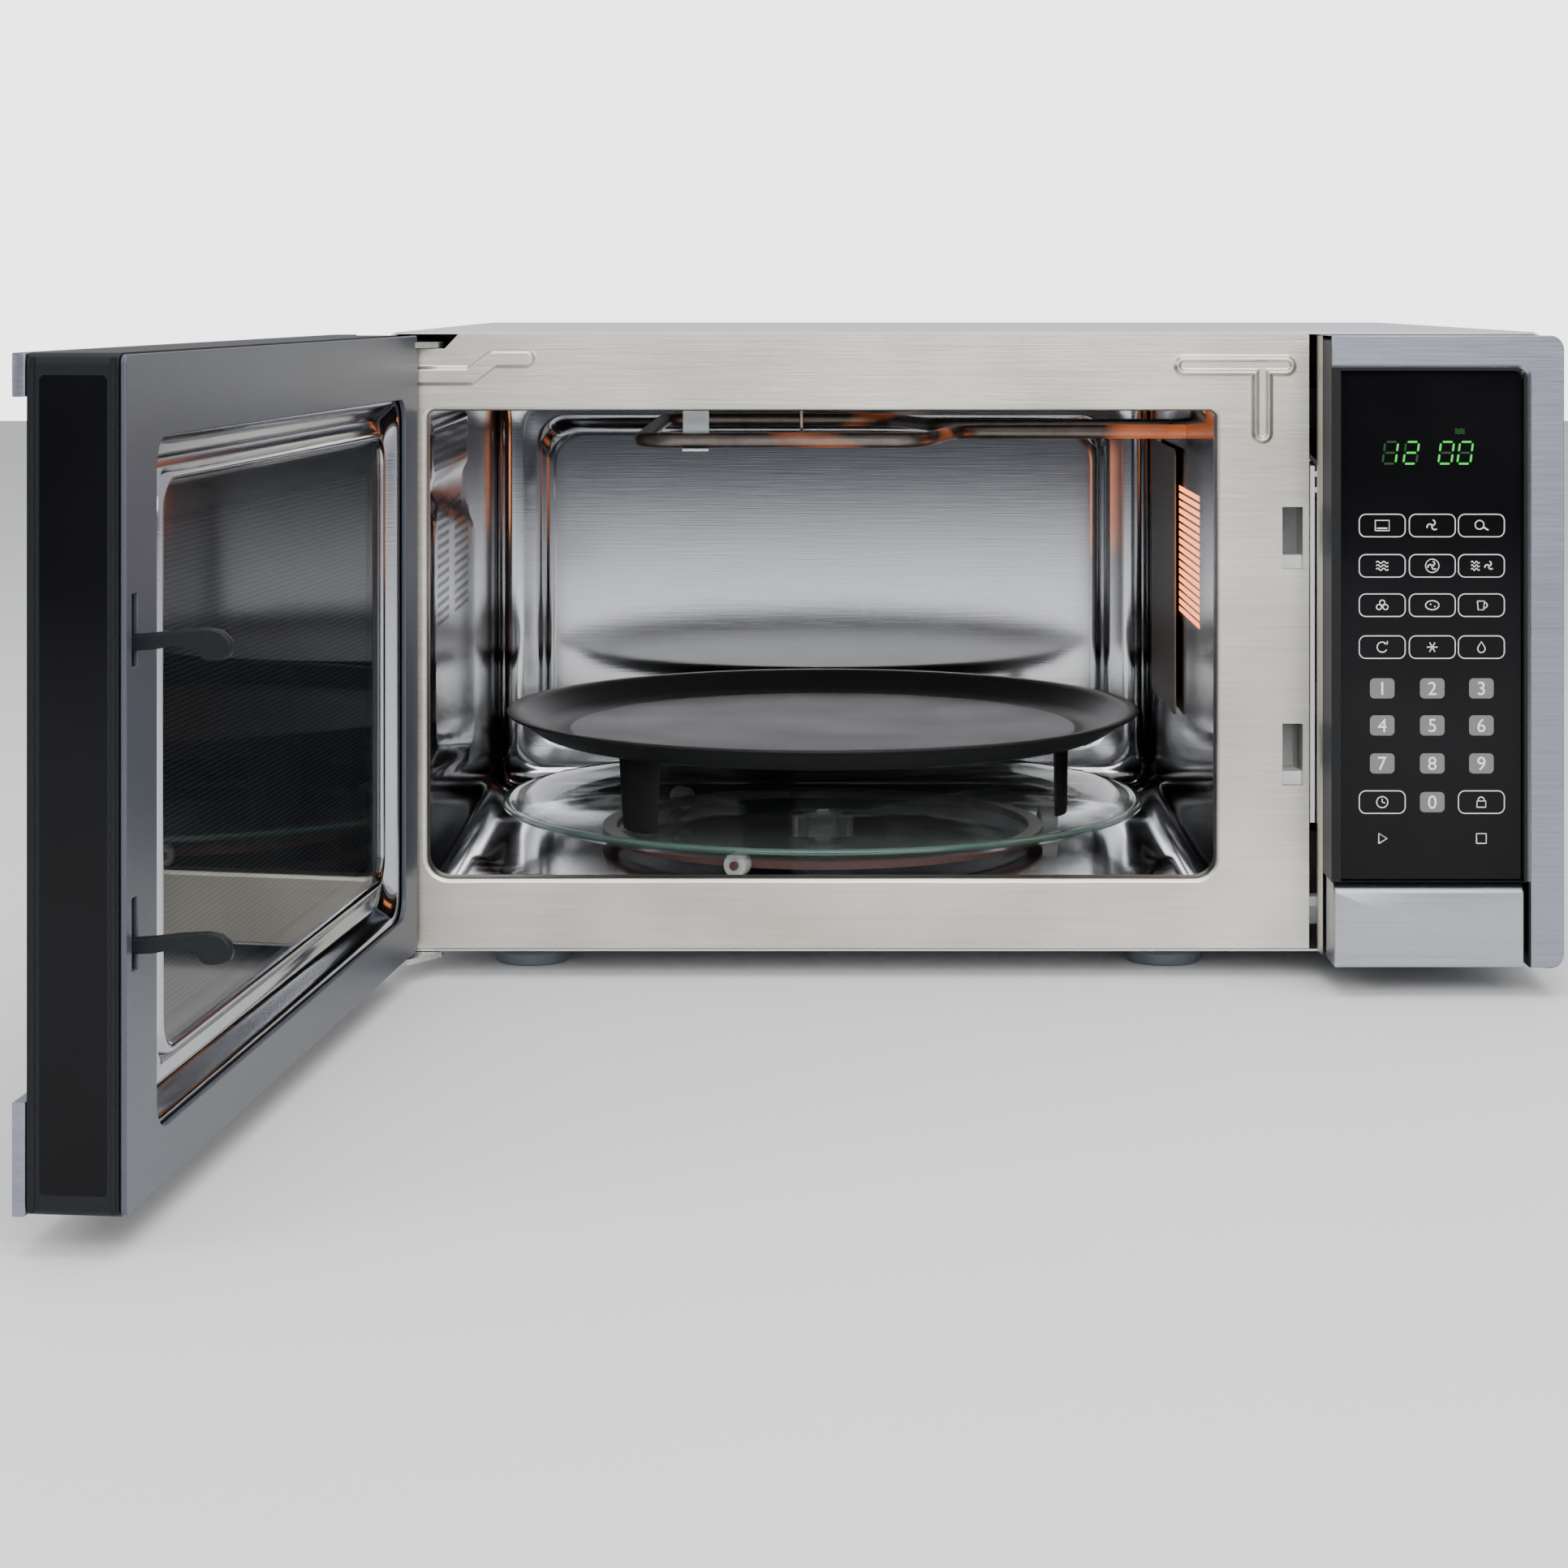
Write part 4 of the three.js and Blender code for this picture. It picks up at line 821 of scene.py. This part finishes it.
black_plastic = moulded_black()
dress(black_plastic, "panel_housing", "door_frame", "cord_gland")
trim_steel = brushed("trim_steel", (0.40, 0.42, 0.475), (0.13, 0.14, 0.17), 0.36, blotch=0.35)
button_steel = brushed("button_steel", (0.56, 0.57, 0.60), (0.24, 0.25, 0.28), 0.33, blotch=0.35)
face_y, glass_y = -41, -36


def corner(x, z, radius, start, steps=8):
    """A quarter turn round a point: radius (cos t, sin t) from a start angle in degrees."""
    turn = np.radians(np.linspace(start, start + 90, steps))
    return np.stack([x + radius * np.cos(turn), z + radius * np.sin(turn)], -1)


chamfer = 2.4
panel_left, glass_right, glass_top, inner_side = 156, 239, 269.8, 241.6
inner_x, inner_z = glass_right + chamfer, glass_top + chamfer
outer_edge = np.concatenate([[(panel_left, 285)], corner(250, 279, 6, 0)[::-1],
                             corner(250, 19, 6, 270)[::-1]])
inner_edge = np.concatenate([[(inner_side, 13)], [(inner_side, inner_z - 5)],
                             corner(inner_x - 4.8, inner_z - 5, 5, 0), [(panel_left, inner_z)]])
points, faces = cut_sheet([np.concatenate([outer_edge, inner_edge])], 1.4, 0.45)
trim_face = piece("trim_face", spot(points[:, 0], face_y - points[:, 2], points[:, 1]), faces, trim_steel)
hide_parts("panel_trim")
wall_edge = np.concatenate([outer_edge - [0, 0.25], [(inner_side, 13.2)]])
wall_edge[:, 0] = np.minimum(wall_edge[:, 0], 255.8)
wall = spot(wall_edge[None, :, 0], np.array([face_y + 0.6, -30, -15, 1.0])[:, None], wall_edge[None, :, 1])
piece("trim_wall", wall, grid_faces(*wall.shape[:2]), trim_steel, toward=spot(900, -20, 900), sharp=50)
turn_radius = 4.5
edges = np.array([np.concatenate([
    [(panel_left, glass_top + out)],
    corner(glass_right + out - turn_radius, glass_top + out - turn_radius, turn_radius, 0)[::-1],
    [(glass_right + out, 50)]]) for out in (chamfer + 0.2, chamfer, 1.2, 0.2, 0.0)])
slope = spot(edges[:, :, 0], np.array([-40.7, -40.95, -39.6, -37.2, -34.0])[:, None], edges[:, :, 1])
piece("trim_chamfer", slope, grid_faces(*slope.shape[:2]), button_steel,
      toward=spot(100, -300, 100), sharp=60)

# The steel edge of the panel's left side, seen past the plate, bowed a little outward.
flange_y = np.linspace(-16, 0.8, 9)
flange = spot(155.9 - 0.8 * np.sin(np.linspace(0, math.pi, 9))[:, None], flange_y[:, None],
              np.array([[13.5, 284.5]]))
piece("panel_side_strip", flange, grid_faces(*flange.shape[:2]), plate_steel, toward=spot(0, -8, 150))


def black_sheet_glass(name="black_sheet_glass"):
    """Glass printed black behind: mirror smooth, with the faintest cloud in its depth."""
    finish = Finish(name, Roughness=0.07, Specular_IOR_Level=0.12)
    cloud = finish.noise((20, 20, 20), 2)
    return finish.set("Base Color", finish.mix(cloud, (0.0025, 0.0025, 0.003), (0.006, 0.006, 0.007)))


panel_black = black_sheet_glass()
points, faces = cut_sheet([rounded_ring(160.4, 238.7, 50, 269.5, 0.8)], 3.0, 0.35)
key_glass = piece("keypad_glass", spot(points[:, 0], glass_y - points[:, 2], points[:, 1]), faces,
                  panel_black)
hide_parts("control_glass")

button_rows = [(-19, 0, 49.3), (-35.5, 0, 49.3), (-36.2, 0.05, 49.1), (-40.2, 0.1, 46.4), (-40.7, 0.3, 45.9),
               (-41, 0.9, 45.3)]
button_loops = in_frame(np.stack([
    np.insert(rounded_ring(157 + inset, 238.7 - inset, 13 + inset, top, 0.9), 1, y, 1)
    for y, inset, top in button_rows]))
button = piece("door_button", button_loops, capped(button_loops), button_steel, body="release_button",
               sharp=22)
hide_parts("release_button")

# ---- keypad marks and clock -----------------------------------------------------------------
# Thin ink on the glass: outlined keys with plain pictures, grey number keys with digits, and the
# green lit bars of the clock showing through.


def ink(name, light, dark):
    """Matt screen ink, slightly uneven."""
    finish = Finish(name, Roughness=0.5)
    grain = finish.noise((2500, 2500, 2500), 2)
    return finish.set("Base Color", finish.mix(grain, dark, light))


def lit_green(name, power):
    """A lit display bar, brighter in the middle of its light."""
    finish = Finish(name, Roughness=0.3)
    grain = finish.noise((900, 900, 900), 1)
    finish.set("Base Color", (0.0, 0.03, 0.0))
    finish.set("Emission Color", finish.mix(grain, (0.01, 0.62, 0.03), (0.05, 0.95, 0.08)))
    return finish.set("Emission Strength", power)


def gathered(parts):
    """Several sheets' (points, faces) as one."""
    starts = np.cumsum([0] + [len(points) for points, _ in parts])
    return (np.concatenate([points for points, _ in parts]),
            [[k + int(start) for k in face] for start, (_, faces) in zip(starts, parts) for face in faces])


def ring_line(ring, inner):
    """A closed line between two rings of equally many points."""
    return np.concatenate([ring, inner]), grid_faces(2, len(ring), ring=True).tolist()


def pen(path, width=0.42):
    """A line of even width along a path: path plus and minus half the width across its way."""
    path = np.asarray(path, float)
    ahead = np.gradient(path, axis=0)
    across = np.stack([-ahead[:, 1], ahead[:, 0]], -1) / np.hypot(*ahead.T)[:, None] * width / 2
    return np.concatenate([path + across, path - across]), grid_faces(2, len(path)).tolist()


def box_line(left, right, low, high, width=0.42):
    """A pen line round a rectangle."""
    return pen(oblong(left, right, low, high)[[0, 1, 2, 3, 0]], width)


def arc_line(x, z, radius, start, end, tall=1.0):
    """A run of an ellipse from one angle to another, in degrees."""
    turn = np.radians(np.linspace(start, end, 20))
    return np.stack([x + radius * np.cos(turn), z + tall * radius * np.sin(turn)], -1)


def printed(name, parts, finish, lift=0.05):
    """Marks in the glass's plane, a hair in front of it."""
    points, faces = gathered(parts)
    return piece(name, spot(points[:, 0], glass_y - lift, points[:, 1]), faces, finish,
                 toward=spot(200, -900, 160), smooth=False)


def waves(x, z):
    """Three wavy lines, for microwaves."""
    run = np.linspace(-2.6, 2.6, 24)
    return [pen(np.stack([x + run, z + lift + 0.45 * np.sin(run * 2.4)], -1)) for lift in (-1.5, 0, 1.5)]


def fan(x, z, size=2.4):
    """Three blades round a hub, for hot air."""
    return [pen(arc_line(x + size / 2 * math.cos(t), z + size / 2 * math.sin(t), size / 2,
                         math.degrees(t) - 180, math.degrees(t) - 10), 0.5)
            for t in np.radians([90, 210, 330])] + [pen(arc_line(x, z, 0.35, 0, 360), 0.5)]


pictures = {
    (0, 0): lambda x, z: [box_line(x - 3, x + 3, z - 2.2, z + 2.2),
                          pen([(x - 2.2, z - 1.2), (x + 2.2, z - 1.2)], 0.6)],
    (0, 1): fan,
    (0, 2): lambda x, z: [pen(arc_line(x - 0.8, z + 0.3, 1.9, 0, 360)),
                          pen([(x + 0.9, z - 0.7), (x + 3, z - 2)], 0.6)],
    (1, 0): waves,
    (1, 1): lambda x, z: fan(x, z, 2.0) + [pen(arc_line(x, z, 2.9, 0, 360), 0.35)],
    (1, 2): lambda x, z: [(p * [0.7, 1] + [0.3 * x - 2.6, 0], f)
                          for p, f in waves(x, z)] + fan(x + 3.3, z, 1.9),
    (2, 0): lambda x, z: [pen(arc_line(x + dx, z + dz, 1.1, 0, 360))
                          for dx, dz in ((-1.4, -0.8), (1.4, -0.8), (0, 1.1))],
    (2, 1): lambda x, z: [pen(arc_line(x, z, 2.9, 0, 360, 0.68)),
                          pen([(x - 1, z + 0.4), (x - 0.4, z + 0.3)], 0.5),
                          pen([(x + 0.8, z - 0.5), (x + 1.4, z - 0.6)], 0.5)],
    (2, 2): lambda x, z: [pen([(x - 1.7, z + 1.8), (x - 1.4, z - 2), (x + 1.0, z - 2), (x + 1.3, z + 1.8),
                               (x - 1.7, z + 1.8)]),
                          pen(arc_line(x + 1.3, z, 1.2, -80, 80))],
    (3, 0): lambda x, z: [pen(arc_line(x, z, 2.2, 40, 330)),
                          pen([(x + 0.9, z + 1.5), (x + 2.2, z + 1.3), (x + 2.2, z + 2.6)])],
    (3, 1): lambda x, z: [pen([(x + way * 2.3 * math.cos(t), z + way * 2.3 * math.sin(t)) for way in (-1, 1)])
                          for t in (0, math.pi / 3, 2 * math.pi / 3)],
    (3, 2): lambda x, z: [pen(np.concatenate([arc_line(x, z - 0.7, 1.6, 150, 390),
                                              [(x, z + 2.4), (x - 1.4, z + 0.1)]]))],
    (7, 0): lambda x, z: [pen(arc_line(x, z, 2.4, 0, 360)), pen([(x, z + 1.5), (x, z), (x + 1.2, z - 0.4)])],
    (7, 2): lambda x, z: [box_line(x - 1.9, x + 1.9, z - 2.2, z + 0.5),
                          pen(arc_line(x - 0.1, z + 0.9, 1.3, -20, 180))],
}
key_columns = (178.5, 200.1, 221.3)
key_rows = (202.9, 185.5, 168.5, 150.4, 132.6, 116.6, 100.2, 83.5)
outline_half, pad_half = (10.1, 5.05), (5.3, 4.35)
lines, pads = [], []
for (row, column), picture in pictures.items():
    x, z = key_columns[column], key_rows[row]
    half_wide, half_high = outline_half
    lines.append(ring_line(*[rounded_ring(x - half_wide + w, x + half_wide - w, z - half_high + w,
                                          z + half_high - w, 3.0 - w) for w in (0, 0.38)]))
    lines += picture(x, z)
lines += [pen([(177, 65.6), (177, 70), (180.6, 67.8), (177, 65.6)], 0.45),
          box_line(219.2, 223.4, 65.7, 69.9, 0.45)]
printed("key_outlines", lines, ink("pale_ink", (0.80, 0.80, 0.79), (0.62, 0.62, 0.61)))
for row in (4, 5, 6, 7):
    for column in (0, 1, 2) if row < 7 else (1,):
        x, z = key_columns[column], key_rows[row]
        ring = rounded_ring(x - pad_half[0], x + pad_half[0], z - pad_half[1], z + pad_half[1], 1.9)
        pads.append((ring, [list(range(len(ring)))]))
printed("number_pads", pads, ink("grey_ink", (0.17, 0.165, 0.165), (0.12, 0.116, 0.115)), 0.04)
white_ink = ink("white_ink", (0.90, 0.90, 0.89), (0.75, 0.75, 0.74))
for digit in range(10):
    row, column = (7, 1) if digit == 0 else (4 + (digit - 1) // 3, (digit - 1) % 3)
    letter = bpy.data.curves.new("digit", "FONT")
    letter.body, letter.size, letter.align_x, letter.align_y = str(digit), 8.2, "CENTER", "CENTER"
    points, faces = filled(letter)
    points = points[:, :2]
    points = points - (points.min(0) + points.max(0)) / 2 + [key_columns[column], key_rows[row]]
    printed(f"digit_{digit}", [(points, faces)], white_ink, 0.09)

digit_high, digit_wide, bar, lean, clock_low = 9.4, 5.6, 0.42, 0.13, 229.6
segments = {"a": (0, 2, 1, 2), "g": (0, 1, 1, 1), "d": (0, 0, 1, 0), "f": (0, 1, 0, 2), "b": (1, 1, 1, 2),
            "e": (0, 0, 0, 1), "c": (1, 0, 1, 1)}


def clock_bars(left, low, lit):
    """The lit bars of one leaning digit, each a six-sided sliver between two corners of the 8."""
    made = []
    for name in lit:
        u0, v0, u1, v1 = segments[name]
        start = np.array([u0 * digit_wide, v0 * digit_high / 2])
        end = np.array([u1 * digit_wide, v1 * digit_high / 2])
        way = (end - start) / np.linalg.norm(end - start)
        across = np.array([-way[1], way[0]]) * bar
        start, end = start + way * 0.55, end - way * 0.55
        ring = np.array([start, start + way * bar - across, end - way * bar - across, end,
                         end - way * bar + across, start + way * bar + across])
        ring[:, 0] += left + lean * ring[:, 1]
        ring[:, 1] += low
        made.append((ring, [[0, 1, 2, 3, 4, 5]]))
    return made


clock_digits = [(178.6, "bc"), (187.6, "abged"), (202.7, "abcdef"), (210.9, "abcdef")]
printed("clock_bars", sum([clock_bars(left, clock_low, lit) for left, lit in clock_digits], []),
        lit_green("lit_green", 1.5), 0.06)
ghosts = [(left, "".join(set("abcdefg") - set(lit))) for left, lit in clock_digits]
printed("clock_ghosts", sum([clock_bars(left, clock_low, sorted(lit)) for left, lit in ghosts], []),
        lit_green("unlit_bars", 0.018), 0.06)
flag = np.array([212, 243.6])
squash = np.array([0.8, 0.55])
printed("clock_flag", [(p * squash + (1 - squash) * flag, f) for p, f in waves(*flag)],
        lit_green("dim_green", 0.2), 0.06)

# ---- door -----------------------------------------------------------------------------------
# Everything here is shaped as the door stands shut and then swung open on the hinge's own axis.
# In front: a steel trim on three sides round black glass, over a black moulded frame.
swing = next(joint for joint in frame["joints"] if joint["name"] == "door_hinge")
pivot = np.array(swing["pos_m"])
opened = math.radians(swing["range_deg"][0])


def on_door(points, y=None, z=None):
    """Points of the shut door, swung open: p + R(a) (q - p) about the upright hinge line."""
    shut = (spot(points, y, z) if y is not None else in_frame(points)) - pivot
    x, y = shut[..., 0], shut[..., 1]
    return np.stack([pivot[0] + x * math.cos(opened) - y * math.sin(opened),
                     pivot[1] + x * math.sin(opened) + y * math.cos(opened), pivot[2] + shut[..., 2]], -1)


def door_sheet(name, rings, front, thick, edge, finish):
    """A flat sheet on the door between outline rings, its face at one depth."""
    points, faces = cut_sheet(rings, thick, edge)
    return piece(name, on_door(points[:, 0], front - points[:, 2], points[:, 1]), faces, finish, "door")


trim_ring = np.concatenate([[(154.5, 271), (154.5, 285)], corner(-251.5, 281, 4, 90),
                            corner(-251.5, 17, 4, 180),
                            [(154.5, 13), (154.5, 49), (-243.3, 49), (-243.3, 271)]])
door_trim = door_sheet("door_steel_trim", [trim_ring], -40, 4.6, 0.7, trim_steel)
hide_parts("door_trim")
door_black = black_sheet_glass("door_black_glass")
door_glass = door_sheet("door_front_glass", [rounded_ring(-243.2, 153.4, 49.2, 270.8, 0.6)], -35, 3, 0.4,
                        door_black)
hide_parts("door_glass")

# The free end of the frame carries a glossy inset strip between two moulded ribs.
points, faces = cut_sheet([rounded_ring(-31, -9, 20, 278, 1.5)], 0.5, 0.15)
piece("edge_inset", on_door(154.55 + points[:, 2] * 0.6, points[:, 0], points[:, 1]), faces, door_black,
      body="door")
for number, y in enumerate((-33.2, -7.0)):
    rib = np.stack([np.insert(np.array([(y - 0.9, 0), (y - 0.6, 0.5), (y + 0.6, 0.5), (y + 0.9, 0)]), 2, z, 1)
                    for z in (14.5, 150, 283.5)])
    grid = on_door(154.4 + rib[..., 1], rib[..., 0], rib[..., 2])
    piece(f"edge_rib_{number}", grid, grid_faces(*grid.shape[:2]), black_plastic, body="door",
          toward=on_door(np.array(900.0), np.array(y), np.array(150.0)))

# ---- door's inner face ------------------------------------------------------------------------
# A painted moulding covers the choke. Inside its rounded hole a polished tray is sunk, with a
# raised bead round the window, whose clear pane lies over a black perforated screen.


def slate_paint():
    """Satin dark slate paint over plastic, with a fine powder texture."""
    finish = Finish("slate_paint", Roughness=0.36, Metallic=0.25)
    grain = finish.noise((1300, 1300, 1300), 2)
    cloud = finish.noise((7, 7, 7), 2)
    shade = grain * 0.5 + cloud * 0.5
    finish.set("Base Color", finish.mix(shade, (0.045, 0.051, 0.066), (0.082, 0.092, 0.113)))
    return finish.bump(grain, 0.00006)


slate = slate_paint()
recess = (-232, 122, 32, 257)
hook_heights = (94.5, 190.5)
hook_holes = [oblong(142, 148, low - 5, low + 18) for low in hook_heights]
cover_rings = [rounded_ring(-254.5, 153.9, 13.6, 284.4, 2.5), rounded_ring(*recess, 10)] + hook_holes
points, faces = cut_sheet(cover_rings, 2.0, 0.5)
cover = piece("slate_cover", on_door(points[:, 0], -3 + points[:, 2], points[:, 1]), faces, slate,
              body="door")
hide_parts("choke_cover")
for number, ring in enumerate(hook_holes):
    well = on_door(ring[None, :, 0], np.array([-4.5, -16.0])[:, None], ring[None, :, 1])
    piece(f"hook_well_{number}", well, grid_faces(2, 4, ring=True), black_plastic, body="door",
          toward=on_door(np.array(145.0), np.array(-10.0), np.array(ring[:, 1].mean())), smooth=False)


def mirror_tray_steel():
    """Bright pressed steel, with a faint drawn grain."""
    finish = Finish("mirror_tray_steel", Metallic=1.0)
    cloud = finish.noise((12, 12, 12), 2)
    grain = finish.noise((40, 40, 1800), 2)
    finish.set("Base Color", finish.mix(cloud, (0.36, 0.37, 0.40), (0.50, 0.51, 0.54)))
    finish.set("Roughness", grain * 0.06 + 0.09)
    return finish.bump(grain, 0.00002)


def between_rings(first, last, share):
    """Four sides and a radius part of the way from one ring to another."""
    return [a + (b - a) * share for a, b in zip(first, last)]


wall_ring, floor_ring = (*recess, 10.0), (-223, 113, 41, 248, 13.0)
bead_ring, window_ring = (-220, 95, 50, 242, 12.0), (-204, 90, 57, 229, 8.0)
rim_y, sunk_y, bead_half, bead_rise = -5.6, -12.3, 3.6, 3.0
tray_rows = [((-234, 124, 30, 259, 12.0), rim_y), (wall_ring, rim_y)]
tray_rows += [(between_rings(wall_ring, floor_ring, s), rim_y + (sunk_y - rim_y) * eased(s))
              for s in np.linspace(0, 1, 12)[1:]]
tray_rows += [(between_rings(floor_ring, bead_ring, s), sunk_y) for s in (0.2, 0.45)]
for offset in np.linspace(bead_half, -bead_half, 17):
    sides = (bead_ring[0] - offset, bead_ring[1] + offset, bead_ring[2] - offset, bead_ring[3] + offset)
    rise = bead_rise * math.cos(offset / bead_half * math.pi / 2)
    tray_rows.append(((*sides, 12 + offset), sunk_y + rise))
tray_rows += [(between_rings((-216, 91, 54, 238, 9.0), window_ring, s), sunk_y) for s in (0.0, 0.5)]
tray_rows += [(window_ring, sunk_y)]
tray_loops = np.stack([np.insert(rounded_ring(*sides[:4], sides[4], arc=10, straight=20), 1, y, 1)
                       for sides, y in tray_rows])
tray_grid = on_door(tray_loops)
pressed_tray = piece("pressed_tray", tray_grid, grid_faces(*tray_grid.shape[:2], ring=True),
                     mirror_tray_steel(), body="door", sharp=70,
                     toward=on_door(np.array(-60.0), np.array(400.0), np.array(147.0)))
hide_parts("door_plate")


def black_screen():
    """Black enamelled steel punched with rows of fine holes set half a pitch apart."""
    finish = Finish("black_screen", Roughness=0.35)
    x, y, z = finish.place()
    pitch, rows_closer = 0.0021, 2 / math.sqrt(3)
    row = (z / pitch * rows_closer).math("FLOOR")
    shift = (row * 0.5).math("FRACT")
    along = ((y / pitch) + shift).math("FRACT") - 0.5
    up = (z / pitch * rows_closer).math("FRACT") - 0.5
    hole = (along * along + up * up).math("SQRT") < 0.3
    inside = z.between(0.060, 0.226, 0.0004) * y.between(front_y - 0.346, front_y - 0.060, 0.0004)
    finish.set("Base Color", finish.mix(hole * inside, (0.016, 0.019, 0.022), (0.42, 0.44, 0.46)))
    return finish.set("Metallic", hole * inside * 0.5)


screen = door_sheet("punched_screen", [rounded_ring(-204, 90, 57, 229, 2)], -13.9, 0.5, 0.0, black_screen())
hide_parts("window_screen")


def smoked_pane():
    """Clear heat-proof pane, smoky enough that the screen shows darkly through it."""
    finish = Finish("smoked_pane", Roughness=0.015, IOR=1.9)
    haze = finish.noise((15, 15, 15), 1)
    finish.set("Alpha", haze * 0.06 + 0.5)
    return finish.set("Base Color", finish.mix(haze, (0.004, 0.005, 0.006), (0.008, 0.009, 0.011)))


border_rings = [rounded_ring(-217, 92, 52.5, 239.5, 9), rounded_ring(-202, 88, 59, 227, 3)]
door_sheet("pane_black_border", border_rings, -12.75, 0.3, 0.0, door_black)
points, faces = cut_sheet([rounded_ring(-217.2, 92.2, 52.3, 239.7, 9.2)], 1.6, 0.3)
pane = piece("clear_pane", on_door(points[:, 0], -10.5 + points[:, 2], points[:, 1]), faces, smoked_pane(),
             body="door")
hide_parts("window_pane")

# ---- latch, spring and hinges ---------------------------------------------------------------
# Two moulded black hooks rise through the cover's slots and hang over a ledge inside the cabinet.
# Stamped zinc arms carry the door top and bottom; a coil spring pulls the hooks down.
hooks, drop = [], 2.9
for number, under in enumerate(hook_heights):
    outline = np.concatenate([[(-14, under), (-4, under), (3, under + 0.4), (10, under + 1.8)],
                              [(17.6, under + 0.6), (18.2, under - drop * 0.5), (19.6, under - drop * 0.88),
                               (22.2, under - drop), (25.8, under - drop * 0.85), (28.2, under - drop * 0.4),
                               (29, under + 0.9), (28.2, under + 4.2), (25.4, under + 6.8),
                               (21, under + 7.6), (12, under + 6.9), (3, under + 5.8),
                               (-4, under + 5.2), (-14, under + 5.2)]])
    points, faces = cut_sheet([outline], 3.5, 0.9)
    hook = piece(f"latch_hook_{number}", on_door(146.75 + points[:, 2], points[:, 0], points[:, 1]), faces,
                 black_plastic, body="latch", sharp=60)
    hooks.append(hook)
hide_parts("door_latch")
dress(screw_steel, "upper_hinge", "lower_hinge", "latch_spring")

# ---- machinery ------------------------------------------------------------------------------
# The parts behind the panel and round the cavity: boards, switches, magnetron, transformer and
# fans, each in its own plain shop finish.


def plain(name, light, dark, grain=400, **constants):
    """A plain finish: two shades under a fine even grain that also lifts its surface."""
    finish = Finish(name, **constants)
    spread = finish.noise((grain, grain, grain))
    finish.set("Base Color", finish.mix(spread, dark, light))
    return finish.bump(spread, 0.00004)


dress(plain("board_green", (0.03, 0.16, 0.07), (0.015, 0.10, 0.04), Roughness=0.45),
      "control_board", "line_filter")
dress(plain("display_smoke", (0.03, 0.04, 0.035), (0.02, 0.025, 0.022), Roughness=0.2), "display_module")
dress(nylon, "interlock_bracket", "release_slider")
dress(plain("switch_grey", (0.26, 0.26, 0.27), (0.18, 0.18, 0.19), Roughness=0.45),
      "switch_primary", "switch_monitor", "switch_secondary")
dress(plain("magnetron_zinc", (0.58, 0.56, 0.52), (0.44, 0.43, 0.40), Metallic=1.0, Roughness=0.35),
      "magnetron")
dress(plain("lamination", (0.20, 0.19, 0.18), (0.11, 0.105, 0.10), 900, Metallic=0.8, Roughness=0.5),
      "transformer", "cooling_fan_motor", "convection_motor")
dress(plain("bare_aluminium", (0.72, 0.72, 0.73), (0.58, 0.58, 0.59), Metallic=1.0, Roughness=0.32),
      "hv_capacitor", "convection_fan")
dress(plain("duct_grey", (0.24, 0.25, 0.26), (0.17, 0.18, 0.19), Roughness=0.5), "fan_shroud", "cooling_fan")
dress(plain("heater_sheath", (0.22, 0.17, 0.14), (0.12, 0.09, 0.075), Metallic=0.7, Roughness=0.5),
      "convection_heater")
dress(plain("lamp_white", (0.80, 0.79, 0.75), (0.68, 0.67, 0.63), Roughness=0.4), "oven_lamp")

# ---- the end of the frame --------------------------------------------------------------------
bpy.context.view_layer.update()
